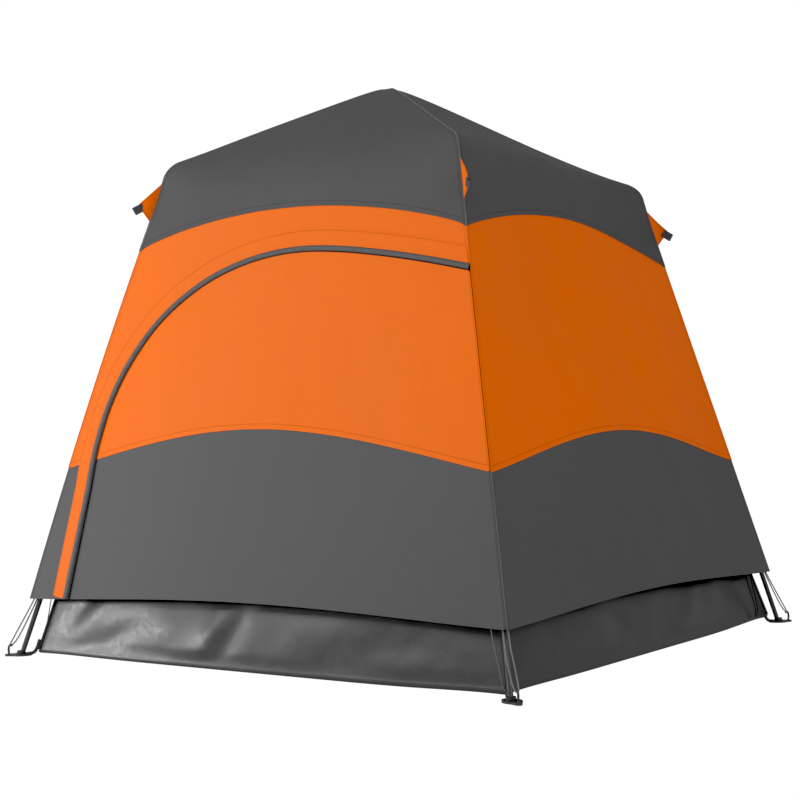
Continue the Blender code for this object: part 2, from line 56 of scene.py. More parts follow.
TUB_HEIGHT = 0.24
INNER_ROOF_BASE = 1.50
INNER_PEAK_Z = 1.76
INNER_DOOR_HALF = 0.40
INNER_DOOR_GAP = 0.0035
INNER_DOOR_SPRING = 0.85
INNER_DOOR_TAUT = 0.10
INNER_SLACK = 0.022
ROOF_SAG = 0.03
NET_THICKNESS = 0.0006
FOOT_R = 1.352

# Shape of the fly
PEAK_Z = 1.95
PEAK_ROUND = 0.030
PEAK_SHIFT = (-0.064, -0.033)
CORNER_BEND = 0.042
MIDDLE_BEND = 0.150
TENSION_SAG = 0.010

# Waves of the soft sheets, each as (depth, length, seed)
FLY_WAVES = ((0.0035, 0.75, 3), (0.0008, 0.16, 5))
INNER_WAVE = (0.012, 0.35, 11)
TUB_WAVES = ((0.0018, 0.34, 21), (0.0004, 0.12, 22))
FLOOR_WAVE = (0.004, 0.22, 23)

LAP = 0.015
PIPING_RADIUS = 0.0016
RIDGE_END = 0.012
LAYER = 0.0012
CLOTH = 0.0008
SPACING = 0.014

# How the pitched fly differs from a square one: see settled()
LEAN_NEAR = (0.011, 0.004)
TILT = -0.023
TILT_BEND = 0.007
LEFT_SPREAD = 0.0085
RIDGE_SAG = 0.020
RIDGE_SWELL = 0.008

# How far the shoulder joints push the cloth out, and how wide a patch of it
SHOULDER_PUSH = 0.0055
PUSH_REACH = 0.09
PUSH_WAY = (0.6, 0.6, 0.5)

# Seams, one for each wall: height at the corners, rise to the middle, how peaked it is and its lean
HEM = (HEM_Z, 0.028, 1.3, 0.0)
LOW_SEAMS = (
    (0.61, 0.126, 1.03, -0.04),
    (0.61, 0.118, 1.10, 0.06),
    (0.61, 0.122, 1.10, 0.02),
    (0.61, 0.122, 1.10, -0.02),
)
HIGH_SEAMS = (
    (1.325, 0.113, 0.72, -0.04),
    (1.325, 0.104, 0.88, -0.04),
    (1.325, 0.110, 0.80, 0.0),
    (1.325, 0.110, 0.80, 0.0),
)

# Zip, its flap and the placket outside it
ZIP_FOOT_U = -0.760
ZIP_STRAIGHT_TOP = (-0.722, 0.55)
ZIP_CROWN = (0.058, 1.297)
ZIP_ARCH = 0.93
ZIP_END_DROP = 0.098
ZIP_END_CURVE = 1.5
ZIP_STEP = 0.006
ZIP_TOOTH = 0.0022
TOOTH_RADIUS = (0.0013, 0.0019)
JAMB_GAP = 0.0008
DOOR_EDGE = 0.0066
DOOR_INSET = 0.003
# The door's binding across the zip's line; its dark strip beside the flap is partly painted shade
DOOR_TAPE = (-0.0090, -DOOR_EDGE)
ZIP_TAPE = (-0.0060, 0.0050)
PLACKET = (0.010, 0.064)
FLAP_WIDTH = (0.024, 0.018)
FLAP_HEIGHT = (0.0125, 0.0062)
FLAP_CLOTH = 0.001
FLAP_LEAST = 0.0002
STRIP_SINK = 0.0003
FLAP_TAPER = 1.3
FLAP_EDGE = 0.012

ROOT_TWO = math.sqrt(2.0)
EDGE_SLANT = 0.972
RIDGE_SLANT = 0.95
ON_SEAM = 1e-4
UV_STEP = 2.0
SHARP = math.radians(50)
WALL_NORMAL = np.array((0.0, -1.0, WALL_LEAN)) / math.hypot(1.0, WALL_LEAN)
CORNERS = ("front_right", "back_right", "back_left", "front_left")
FACES = ("front", "right", "back", "left")

# Light levels, where 1 lights a white surface to full white
SKY = 0.50
BACKDROP = 1.02
FILM_BLACK = 0.030

# Camera, with its pan, tilt and roll in degrees
SENSOR = 36.0
LENS = 68.64
SHIFT = (-0.075, 0.0487)
CAMERA_PLACE = (3.0643, -4.4168, 0.7185)
CAMERA_TURN = (33.11, 89.80, -0.925)

LIGHTS = (
    # name, place, target, side, power
    ("key", (-3.1, -5.0, 3.7), (0, -0.3, 0.8), 2.4, 153),
    ("fill", (5.5, -1.5, 2.6), (0.8, 0.2, 0.8), 2.5, 56),
    ("back fill", (-3.5, 5.0, 1.0), (-0.3, 0.5, 0.7), 2.5, 70),
    ("low strip", (-2.9, -2.9, 0.68), (-0.7, -0.95, 0.1), 0.55, 27),
)


# Small helpers


def settled(points):
    """The fly as pitched: its top leans, a side spreads, the ridges bend and the shoulders push out."""
    x, y, z = points[..., 0], points[..., 1], points[..., 2]
    up = np.clip((z - HEM_Z) / (SHOULDER_Z - HEM_Z), 0, 1)
    away = (x + y) / (2 * SHOULDER_HALF)
    near = np.clip(0.5 + (x - y) / (4 * SHOULDER_HALF), 0, 1) ** 2
    out = np.array(points, float)
    out[..., 0] -= LEAN_NEAR[0] * near * up
    out[..., 1] -= LEAN_NEAR[1] * near * up
    left = LEFT_SPREAD * np.clip(-away, 0, 1) ** 2 * np.sin(math.pi * up)
    out[..., :2] -= left[..., None]
    roof = np.clip(np.maximum(np.abs(x), np.abs(y)) / SHOULDER_HALF, 0, 1)
    sag = np.sin(math.pi * roof) * (RIDGE_SAG * np.clip(away, 0, 1) + RIDGE_SWELL * np.clip(away, -1, 0))
    out[..., 2] += up * (TILT * away + TILT_BEND * away**2 - sag)
    from_joint = np.stack([np.abs(x) - SHOULDER_HALF, np.abs(y) - SHOULDER_HALF, z - SHOULDER_Z])
    gap = np.linalg.norm(from_joint, axis=0)
    push = SHOULDER_PUSH * np.exp(-((gap / PUSH_REACH) ** 2))
    way = np.stack([np.sign(x), np.sign(y), np.ones_like(z)], axis=-1) * PUSH_WAY
    return out + push[..., None] * way


def turned(points, cos, sin):
    """Points turned about Z by the angle of this cosine and sine."""
    out = np.array(points, float)
    out[..., 0] = cos * points[..., 0] - sin * points[..., 1]
    out[..., 1] = sin * points[..., 0] + cos * points[..., 1]
    return out


def turn_quarter(points, k):
    """Points turned k quarter turns about Z."""
    return turned(points, *((1, 0), (0, 1), (-1, 0), (0, -1))[k % 4])


def waves(points, length, seed):
    """A smooth field between about -1 and 1: a few plane waves in seeded directions."""
    rng = np.random.default_rng(seed)
    total = np.zeros(points.shape[:-1])
    count = 7
    for _ in range(count):
        direction = rng.normal(size=3)
        direction *= 2 * math.pi / (np.linalg.norm(direction) * length * rng.uniform(0.7, 1.5))
        total += np.sin(points @ direction + rng.uniform(0, 2 * math.pi))
    return total / math.sqrt(count)


def ripples(points, *kinds):
    """The depths of these kinds of waves at each point, added up."""
    return sum(depth * waves(points, length, seed) for depth, length, seed in kinds)


def smooth_step(x, low, high):
    t = np.clip((x - low) / (high - low), 0.0, 1.0)
    return t * t * (3 - 2 * t)


def grid_faces(base, columns, rows):
    """Quads over points that are stored column by column."""
    faces = []
    for i in range(columns - 1):
        for j in range(rows - 1):
            a = base + i * rows + j
            faces.append((a, a + rows, a + rows + 1, a + 1))
    return faces


def tube_faces(rings, count):
    """Quads round a tube of this many rings, each of count points."""
    faces = []
    for i in range(rings - 1):
        for j in range(count):
            a, b = i * count + j, i * count + (j + 1) % count
            faces.append((a, b, b + count, a + count))
    return faces


def placed(name, data):
    """A new object in the scene that shows this data."""
    obj = bpy.data.objects.new(name, data)
    bpy.context.scene.collection.objects.link(obj)
    return obj


def new_object(name, verts, faces, material, smooth=True):
    mesh = bpy.data.meshes.new(name)
    mesh.from_pydata([tuple(v) for v in verts], [], [tuple(f) for f in faces])
    mesh.validate()
    mesh.update()
    mesh.materials.append(material)
    if smooth:
        mesh.shade_smooth()
    return placed(name, mesh)


@contextmanager
def edited(obj):
    """The object's mesh as a bmesh, written back at the end."""
    bm = bmesh.new()
    bm.from_mesh(obj.data)
    yield bm
    bm.to_mesh(obj.data)
    bm.free()


def tidy_normals(obj):
    """Faces all turned outwards, with sharp edges where the surface turns by more than SHARP."""
    with edited(obj) as bm:
        bmesh.ops.recalc_face_normals(bm, faces=bm.faces)
    obj.data.set_sharp_from_angle(angle=SHARP)


def add_uv(obj, coords):
    """Stores (u, v) in metres for each vertex."""
    layer = obj.data.uv_layers.new(name="metres")
    loops = np.empty(len(obj.data.loops), np.int32)
    obj.data.loops.foreach_get("vertex_index", loops)
    layer.data.foreach_set("uv", np.asarray(coords, np.float32)[loops].ravel())


def add_values(obj, name, values):
    attribute = obj.data.attributes.new(name, "FLOAT", "POINT")
    attribute.data.foreach_set("value", np.asarray(values, np.float32))


def thicken(obj, thickness, offset=-1.0):
    """Gives a sheet its thickness, with crisp edges round its rim."""
    solidify = obj.modifiers.new("Thickness", "SOLIDIFY")
    solidify.thickness = thickness
    solidify.offset = offset
    sheet = obj.data
    graph = bpy.context.evaluated_depsgraph_get()
    obj.data = bpy.data.meshes.new_from_object(obj.evaluated_get(graph))
    obj.modifiers.clear()
    obj.data.set_sharp_from_angle(angle=SHARP)
    bpy.data.meshes.remove(sheet)


# How far the soft pieces would sink as the frame folds, as (anchor z, share kept); here they only tell
# settle_on whether to give a piece a mesh of its own
OVER_FRAME = (0.155, 0.07)
UNDER_FRAME = (0.0, 0.04)
LOW_CORDS = (0.0, 0.73)
LOW_TIES = (0.0, 0.67)


def four_sided(name, columns, rows, column, material):
    """A sheet over all four sides: column(k, s) gives the points of one line up side k, and their (u, v)."""
    verts, faces, uv = [], [], []
    for k in range(4):
        faces += grid_faces(k * len(columns) * rows, len(columns), rows)
        for s in columns:
            points, flat = column(k, s)
            verts.append(points)
            uv.append(np.column_stack(flat) + (UV_STEP * k, 0.0))
    obj = new_object(name, np.vstack(verts), faces, material)
    add_uv(obj, np.vstack(uv))
    return obj


def settle_on(obj, squash=OVER_FRAME, replaces=(), body="tent"):
    """Puts a piece on its body and hides the nodes that it stands for; a piece given a squash gets a mesh of
    its own.
    """
    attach(obj, body)
    if replaces:
        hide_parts(*replaces)
    if squash:
        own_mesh(obj)


def each_face(prefix):
    """The four nodes of this prefix, one for each side of the tent."""
    return [prefix + face for face in FACES]


# Materials


class Nodes:
    """A short way to write a material's node tree."""

    def __init__(self, name):
        self.material = bpy.data.materials.new(name)
        self.material.use_nodes = True
        self.tree = self.material.node_tree
        self.shader = self.tree.nodes["Principled BSDF"]

    def add(self, kind, **settings):
        node = self.tree.nodes.new(kind)
        inputs = settings.pop("inputs", {})
        for key, value in settings.items():
            setattr(node, key, value)
        for key, value in inputs.items():
            self.put(node.inputs[key], value)
        return node

    def put(self, socket, value):
        if isinstance(value, bpy.types.NodeSocket):
            self.tree.links.new(value, socket)
        else:
            socket.default_value = value

    def math(self, operation, first, second=0.0, third=0.5):
        inputs = {0: first, 1: second, 2: third}
        return self.add("ShaderNodeMath", operation=operation, inputs=inputs).outputs[0]

    def ramp(self, value, low, high, to_low=0.0, to_high=1.0):
        inputs = {"Value": value, "From Min": low, "From Max": high, "To Min": to_low, "To Max": to_high}
        return self.add("ShaderNodeMapRange", clamp=True, inputs=inputs).outputs["Result"]

    def mix(self, share, first, second):
        inputs = {"Factor": share, "A": first, "B": second}
        return self.add("ShaderNodeMix", data_type="RGBA", inputs=inputs).outputs["Result"]

    def place(self):
        return self.add("ShaderNodeTexCoord").outputs["Object"]

    def metres(self):
        return self.add("ShaderNodeUVMap", uv_map="metres").outputs["UV"]

    def value(self, name):
        return self.add("ShaderNodeAttribute", attribute_name=name).outputs["Fac"]

    def noise(self, vector, scale, detail=3.0, roughness=0.55):
        inputs = {"Vector": vector, "Scale": scale, "Detail": detail, "Roughness": roughness}
        return self.add("ShaderNodeTexNoise", inputs=inputs).outputs["Fac"]

    def wave(self, value, pitch):
        return self.math("SINE", self.math("MULTIPLY", value, 2 * math.pi / pitch))

    def crossed(self, warp, weft):
        """0 to 1: where two waves between -1 and 1 agree."""
        return self.math("MULTIPLY_ADD", self.math("MULTIPLY", warp, weft), 0.5, 0.5)

    def weave(self, vector, pitch):
        """0 to 1: threads that cross at this pitch in metres."""
        split = self.add("ShaderNodeSeparateXYZ", inputs={0: vector})
        return self.crossed(*(self.wave(output, pitch) for output in split.outputs[:2]))

    def tint(self, value, low, high, colour, dark, light):
        """The colour, darkened where the value is low and lightened where it is high."""
        return self.mix(self.ramp(value, low, high), shade(colour, dark), shade(colour, light))

    def speckle(self, tone, value, low, high, share, colour):
        """The tone with up to this share of another colour where the value is high."""
        return self.mix(self.ramp(value, low, high, 0.0, share), tone, colour)

    def bump(self, height, distance, strength=1.0, normal=None):
        inputs = {"Height": height, "Distance": distance, "Strength": strength}
        if normal is not None:
            inputs["Normal"] = normal
        return self.add("ShaderNodeBump", inputs=inputs).outputs["Normal"]

    def finish(self, colour, roughness, normal, more=()):
        """Sets the shader's sockets, with any others as (name, value), and returns the material."""
        for name, value in (("Base Color", colour), ("Roughness", roughness), ("Normal", normal), *more):
            self.put(self.shader.inputs[name], value)
        return self.material


# Length of one stitch, and the pitch of each weave
STITCH = 0.0042
CLOTH_PITCH = 0.0011
SCRIM_PITCH = 0.0032
NET_PITCH = 0.0030


def shade(colour, factor):
    return (*(min(1.0, channel * factor) for channel in colour), 1.0)


def cloth(name, colour, roughness=0.62, lines=(), mottle=0.06, crease=1.0, gloss=0.30):
    """Coated polyester: fine weave, soft mottling and faint creases, with stitch rows whose grooves carry
    painted shade.

    lines holds (attribute, distance from it) for each row of stitches.
    """
    n = Nodes(name)
    place = n.place()
    metres = n.metres()
    broad = n.noise(place, 2.3, 4.0, 0.6)
    fine = n.noise(place, 38.0, 3.0, 0.6)
    grain = n.noise(place, 900.0, 2.0, 0.7)
    tone = n.tint(broad, 0.3, 0.7, colour, 1 - mottle, 1 + mottle)
    tone = n.speckle(tone, fine, 0.35, 0.75, 0.22, shade(colour, 1 - 1.6 * mottle))
    tone = n.speckle(tone, grain, 0.3, 0.7, 0.16, shade(colour, 0.72))
    weave = n.weave(metres, CLOTH_PITCH)
    height = n.bump(weave, 0.00006)
    height = n.bump(n.noise(place, 14.0, 5.0, 0.55), 0.0016 * crease, 0.5, height)
    height = n.bump(fine, 0.0006 * crease, 0.35, height)
    run = n.add("ShaderNodeSeparateXYZ", inputs={0: metres})
    along = n.math("ADD", run.outputs[0], run.outputs[1])
    stitch = n.wave(along, STITCH)
    for attribute, distance in lines:
        gap = n.math("ABSOLUTE", n.math("SUBTRACT", n.value(attribute), distance))
        shaded_groove = n.ramp(gap, 0.0004, 0.0026, 1.0, 0.0)
        thread = n.math("MULTIPLY", n.ramp(gap, 0.0003, 0.0007, 1.0, 0.0), n.ramp(stitch, -0.5, -0.1))
        # painted shade: the tone darkens across each stitch row's groove, which is also bumped in
        tone = n.mix(n.math("MULTIPLY", shaded_groove, 0.22), tone, shade(colour, 0.38))
        tone = n.mix(n.math("MULTIPLY", thread, 0.45), tone, shade(colour, 0.55))
        height = n.bump(shaded_groove, 0.0006, 0.5, height)
        height = n.bump(thread, 0.0004, 0.8, height)
    roughness = n.ramp(broad, 0.2, 0.8, roughness - 0.06, roughness + 0.06)
    more = (("Specular IOR Level", gloss), ("Sheen Weight", 0.2 * gloss), ("Sheen Tint", shade(colour, 1.0)))
    return n.finish(tone, roughness, height, more)


def glossy_sheet(name, colour):
    """Laid polyethylene: glossy, with a faint woven scrim, scuffs and dust."""
    n = Nodes(name)
    place = n.place()
    metres = n.metres()
    broad = n.noise(place, 3.0, 4.0, 0.6)
    scuff = n.noise(place, 55.0, 5.0, 0.7)
    tone = n.tint(broad, 0.3, 0.7, colour, 0.88, 1.12)
    tone = n.speckle(tone, scuff, 0.55, 0.8, 0.3, shade(colour, 1.7))
    scrim = n.weave(metres, SCRIM_PITCH)
    height = n.bump(scrim, 0.00004)
    height = n.bump(n.noise(place, 7.0, 3.0, 0.5), 0.004, 0.3, height)
    height = n.bump(n.noise(place, 32.0, 4.0, 0.6), 0.0006, 0.2, height)
    return n.finish(tone, n.ramp(scuff, 0.35, 0.75, 0.30, 0.40), height, [("Specular IOR Level", 0.5)])


def webbing(name, colour, pitch=0.0017, roughness=0.74):
    """Woven tape: a ribbed twill with a fuzzy edge tone."""
    n = Nodes(name)
    place = n.place()
    split = n.add("ShaderNodeSeparateXYZ", inputs={0: place})
    slant = n.math("ADD", n.math("ADD", split.outputs[0], split.outputs[1]), split.outputs[2])
    rib = n.wave(slant, pitch)
    cross = n.wave(n.math("SUBTRACT", split.outputs[2], split.outputs[0]), pitch * 1.4)
    twill = n.crossed(rib, cross)
    fuzz = n.noise(place, 420.0, 3.0, 0.6)
    tone = n.mix(twill, shade(colour, 0.62), shade(colour, 1.35))
    tone = n.speckle(tone, fuzz, 0.45, 0.7, 0.4, shade(colour, 1.9))
    roughness = n.ramp(fuzz, 0.3, 0.7, roughness - 0.06, roughness + 0.12)
    return n.finish(tone, roughness, n.bump(twill, 0.0003, 0.8))


def painted_steel(name, colour):
    """Powder-coated tube: orange-peel paint with light scratches that run along it and worn spots."""
    n = Nodes(name)
    place = n.place()
    peel = n.noise(place, 700.0, 2.0, 0.5)
    wear = n.noise(place, 26.0, 5.0, 0.7)
    stretched = n.add("ShaderNodeMapping", inputs={"Vector": place, "Scale": (1.0, 1.0, 0.05)}).outputs[0]
    scratch = n.noise(stretched, 900.0, 2.0, 0.5)
    tone = n.tint(wear, 0.35, 0.65, colour, 0.85, 1.2)
    tone = n.speckle(tone, scratch, 0.66, 0.74, 0.5, shade(colour, 3.2))
    roughness = n.ramp(wear, 0.3, 0.7, 0.28, 0.44)
    return n.finish(tone, roughness, n.bump(peel, 0.00012, 0.4), [("Metallic", 0.35)])


def moulded_plastic(name, colour, roughness=0.45):
    """Glass-filled nylon: spark-eroded grain, faint flow marks and rubbed spots."""
    n = Nodes(name)
    place = n.place()
    grain = n.noise(place, 1500.0, 3.0, 0.6)
    flow = n.noise(place, 18.0, 4.0, 0.6)
    tone = n.tint(flow, 0.35, 0.65, colour, 0.86, 1.2)
    tone = n.speckle(tone, grain, 0.55, 0.75, 0.3, shade(colour, 1.7))
    roughness = n.ramp(flow, 0.3, 0.7, roughness - 0.08, roughness + 0.1)
    return n.finish(tone, roughness, n.bump(grain, 0.00012, 0.5))


def net(name, colour):
    """Insect net: round holes on a fine grid, drawn as dark pits of painted shade between lighter yarns."""
    n = Nodes(name)
    metres = n.metres()
    place = n.place()
    mesh = n.weave(metres, NET_PITCH)
    broad = n.noise(place, 4.0, 3.0, 0.6)
    # painted shade: the holes between the yarns are darkened, the yarns lightened
    tone = n.tint(mesh, 0.25, 0.75, colour, 0.35, 1.7)
    tone = n.speckle(tone, broad, 0.3, 0.7, 0.35, shade(colour, 0.8))
    return n.finish(tone, n.ramp(mesh, 0.0, 1.0, 0.95, 0.7), n.bump(mesh, 0.0004, 0.8))


ORANGE = (0.82, 0.160, 0.015)
GREY = (0.102, 0.102, 0.103)
ROOF_GREY = (0.110, 0.110, 0.111)
MATERIALS = {
    "canopy": cloth("grey_canopy_cloth", ROOF_GREY, lines=(("high", 0.016), ("side", 0.008)), gloss=0.12),
    "band": cloth("orange_band_cloth", ORANGE, lines=(("low", 0.016), ("side", 0.008)), mottle=0.03),
    "skirt": cloth("grey_skirt_cloth", GREY, lines=(("side", 0.008),)),
    "placket": cloth("orange_placket_cloth", ORANGE, lines=(("edge", 0.005),), mottle=0.03),
    "plain_orange": cloth("orange_flap_cloth", ORANGE, lines=(("edge", 0.005),), mottle=0.03),
    "grey_piping": webbing("grey_piping_cloth", (0.16, 0.16, 0.165)),
    "orange_piping": webbing("orange_piping_cloth", (0.70, 0.135, 0.012)),
    "flap": webbing("zip_flap_cloth", (0.095, 0.097, 0.100), 0.0011, 0.42),
    "black": webbing("black_webbing", (0.075, 0.075, 0.078)),
    "tape": webbing("zip_tape_cloth", (0.030, 0.030, 0.031), 0.0009),
    "cord": webbing("elastic_cord_cover", (0.20, 0.20, 0.205), 0.0014),
    "tub": glossy_sheet("floor_laminate", (0.056, 0.056, 0.058)),
    "inner": cloth("inner_wall_cloth", (0.42, 0.42, 0.43), 0.75, lines=(("side", 0.008),), crease=1.4),
    "net": net("roof_net", (0.05, 0.05, 0.055)),
    "steel": painted_steel("leg_paint", (0.085, 0.086, 0.088)),
    "plastic": moulded_plastic("black_nylon", (0.065, 0.065, 0.067)),
    "button": moulded_plastic("orange_nylon", (0.75, 0.16, 0.02), 0.35),
}


# Shape of the walls. Each is worked out facing -Y: u runs to the right seen from outside and z is height


def half_at(z):
    """Half the width of the fly's walls at this height."""
    return BASE_HALF - WALL_LEAN * z


def inner_half_at(z):
    return half_at(z) - INNER_INSET


def pushed(points, depth, k):
    """Points of wall k pushed outwards by depth."""
    return points + depth[:, None] * turn_quarter(WALL_NORMAL, k)


def up_corner(k, reach, z):
    """Points at this reach and height over the corner at the right of wall k."""
    return turn_quarter(np.column_stack([reach, -reach, z]), k)


def seam_height(seam, s):
    """A seam's height at s, which runs from -1 at a wall's left corner to 1 at its right one."""
    corner, rise, peaked, lean = seam
    s = np.clip(s, -1, 1)
    return corner + rise * np.cos((s - lean * (1 - s * s)) * math.pi / 2).clip(0) ** peaked


def seam_at(seam, u):
    """A seam's height at u, by a few rounds of substitution."""
    z = np.full_like(np.asarray(u, float), seam[0])
    for _ in range(5):
        z = seam_height(seam, u / half_at(z))
    return z


def settle(points, s, z):
    """How far the cloth lies inside the taut plane: pulled in by tension, with a soft billow and ripples."""
    free = 1 - np.abs(s) ** 4
    height = np.clip((z - HEM_Z) / (PEAK_Z - HEM_Z), 0, 1)
    sag = TENSION_SAG * (1 - s**2) * np.sin(math.pi * height)
    loose = np.sin(math.pi * np.clip(height * 1.04 + 0.02, 0, 1)) ** 0.5
    return sag + free * loose * ripples(points, *FLY_WAVES)


def on_wall(k, u, z, lift=0.0):
    """Points of the fly's wall k, lifted outwards."""
    half = half_at(z)
    flat = np.column_stack([u, -half, z])
    world = turn_quarter(flat, k)
    depth = lift - settle(world, u / half, z)
    return settled(pushed(world, depth, k))


def inner_on_wall(k, u, z, lift=0.0):
    """Points of the inner tent's wall k: straight at its edges, a little slack between them."""
    half = inner_half_at(z)
    flat = np.column_stack([u, -half, z])
    world = turn_quarter(flat, k)
    s = u / half
    slack = np.clip((z - TUB_HEIGHT) * (INNER_ROOF_BASE - z), 0, 1)
    if k == 0:
        slack = slack * (1 - np.exp(-(((u - INNER_DOOR_HALF) / INNER_DOOR_TAUT) ** 2)))
    depth = lift - (1 - s**4) * slack * (INNER_SLACK + ripples(world, INNER_WAVE))
    return pushed(world, depth, k)


def zip_path():
    """The zip's middle line (u, z), from the hem up beside the left corner and over to the right one."""
    top_u, top_z = ZIP_CROWN
    side_u, side_z = ZIP_STRAIGHT_TOP
    foot_z = float(seam_at(HEM, np.array([ZIP_FOOT_U]))[0])
    angles = np.radians(np.linspace(0, 90, 40))
    arch = np.column_stack([top_u + (side_u - top_u) * np.cos(angles).clip(0) ** ZIP_ARCH,
                            side_z + (top_z - side_z) * np.sin(angles) ** ZIP_ARCH])
    end_z = top_z - ZIP_END_DROP
    share = np.linspace(0, 1, 30)[1:]
    tail = np.column_stack([top_u + (half_at(end_z) - 0.003 - top_u) * share,
                            top_z - ZIP_END_DROP * share**ZIP_END_CURVE])
    return resample(np.vstack([[(ZIP_FOOT_U, foot_z)], arch, tail]), ZIP_STEP)


def run_lengths(path):
    """The length along the path up to each of its points."""
    return np.concatenate([[0], np.cumsum(np.linalg.norm(np.diff(path, axis=0), axis=1))])


def resample(path, step):
    """The same line with points at an even spacing of about step."""
    lengths = run_lengths(path)
    count = max(2, int(round(lengths[-1] / step)) + 1)
    at = np.linspace(0, lengths[-1], count)
    return np.column_stack([np.interp(at, lengths, path[:, i]) for i in range(path.shape[1])])


def unit_rows(vectors):
    return vectors / np.linalg.norm(vectors, axis=1)[:, None]


def unit_run(path):
    """Unit vectors along the path at each of its points."""
    return unit_rows(np.gradient(path, axis=0))


def left_of(path):
    """Unit vectors to the left of the path at each of its points."""
    run = unit_run(path)
    return np.column_stack([-run[:, 1], run[:, 0]])


def beside(path, distance):
    """The path moved to its left."""
    return path + distance * left_of(path)


ZIP = zip_path()


def zip_distance(points):
    """How far each (u, z) lies outside the zip's line; inside is negative."""
    best = np.full(len(points), 1e9)
    sign = np.ones(len(points))
    left = left_of(ZIP)
    for first in range(0, len(points), 4000):
        chunk = points[first:first + 4000]
        gaps = chunk[:, None, :] - ZIP[None, :, :]
        far = np.einsum("ijk,ijk->ij", gaps, gaps)
        near = far.argmin(axis=1)
        rows = np.arange(len(chunk))
        best[first:first + 4000] = np.sqrt(far[rows, near])
        sign[first:first + 4000] = np.sign(np.einsum("ij,ij->i", gaps[rows, near], left[near]))
    return best * sign


# Cloth panels cut from outlines


def inside(points, outline):
    """Which points lie inside a closed outline."""
    x, y = points[:, 0], points[:, 1]
    found = np.zeros(len(points), bool)
    x0, y0 = outline[:, 0], outline[:, 1]
    x1, y1 = np.roll(x0, -1), np.roll(y0, -1)
    for a, b, c, d in zip(x0, y0, x1, y1):
        if b == d:
            continue
        crossing = ((b > y) != (d > y)) & (x < (c - a) * (y - b) / (d - b) + a)
        found ^= crossing
    return found


def clearance(points, outline):
    """Distance from each point to the outline's nearest corner point; the outline is finely divided."""
    best = np.full(len(points), 1e9)
    for corner in outline:
        best = np.minimum(best, (points[:, 0] - corner[0]) ** 2 + (points[:, 1] - corner[1]) ** 2)
    return np.sqrt(best)


def cut_panel(outline, spacing):
    """(points, triangles) that fill a closed outline with an even mesh."""
    closed = resample(np.vstack([outline, outline[:1]]), spacing)[:-1]
    low, high = closed.min(axis=0), closed.max(axis=0)
    rows = np.arange(low[1], high[1], spacing * 0.866)
    grid = []
    for i, row in enumerate(rows):
        columns = np.arange(low[0] + (i % 2) * spacing / 2, high[0], spacing)
        grid.append(np.column_stack([columns, np.full(len(columns), row)]))
    grid = np.vstack(grid)
    grid = grid[inside(grid, closed)]
    grid = grid[clearance(grid, closed) > spacing * 0.6]
    count = len(closed)
    coords = [Vector(p) for p in closed] + [Vector(p) for p in grid]
    result = delaunay_2d_cdt(coords, [], [list(range(count))], 1, 1e-7)
    return np.array([tuple(p) for p in result[0]]), [tuple(face) for face in result[2]]


def facing_up(points, triangles):
    """The triangles, all counter-clockwise."""
    turned = []
    for a, b, c in triangles:
        ab, ac = points[b] - points[a], points[c] - points[a]
        turned.append((a, b, c) if ab[0] * ac[1] - ab[1] * ac[0] > 0 else (a, c, b))
    return turned


def wall_outline(bottom, top):
    """A whole wall between two seams, as (u, z)."""
    s = np.linspace(-1, 1, 81)
    low = seam_height(bottom, s)
    high = seam_height(top, s)
    lower = np.column_stack([s * half_at(low), low])
    upper = np.column_stack([s * half_at(high), high])
    return np.vstack([lower, upper[::-1]])


def cloth_panels(name, parts, material, lift, mapping=on_wall, follows_zip=False):
    """One object from [(wall, outline)], with what the stitch rows need stored on its points."""
    verts, faces, flat, uv, low, high = [], [], [], [], [], []
    base = 0
    for k, outline in parts:
        points, triangles = cut_panel(outline, SPACING)
        u, z = points.T
        verts.append(mapping(k, u, z, lift))
        faces += [tuple(base + i for i in face) for face in facing_up(points, triangles)]
        flat.append(points)
        uv.append(points + (UV_STEP * k, 0.0))
        low.append(z - seam_at(LOW_SEAMS[k], u))
        high.append(z - seam_at(HIGH_SEAMS[k], u))
        base += len(points)
    obj = new_object(name, np.vstack(verts), faces, material)
    flat = np.vstack(flat)
    half = inner_half_at if mapping is inner_on_wall else half_at
    add_uv(obj, np.vstack(uv))
    add_values(obj, "low", np.concatenate(low))
    add_values(obj, "high", np.concatenate(high))
    add_values(obj, "side", (half(flat[:, 1]) - np.abs(flat[:, 0])) * EDGE_SLANT)
    if follows_zip:
        add_values(obj, "edge", PLACKET[1] - zip_distance(flat))
    thicken(obj, CLOTH)
    return obj


def lapped(seam, by):
    """The seam raised by this much, to lie under its neighbour."""
    return (seam[0] + by, *seam[1:])


def crossing_index(path, seam):
    """The first point of a path that is above a seam."""
    return int(np.argmax(path[:, 1] > seam_at(seam, path[:, 0])))


def seam_run(seam, start_u, end_u):
    """Points along a seam between two places."""
    u = np.linspace(start_u, end_u, 60)
    return np.column_stack([u, seam_at(seam, u)])


def corner_of(seam, inset=0.0):
    """Where a seam meets the wall's right corner."""
    return half_at(seam[0]) - inset


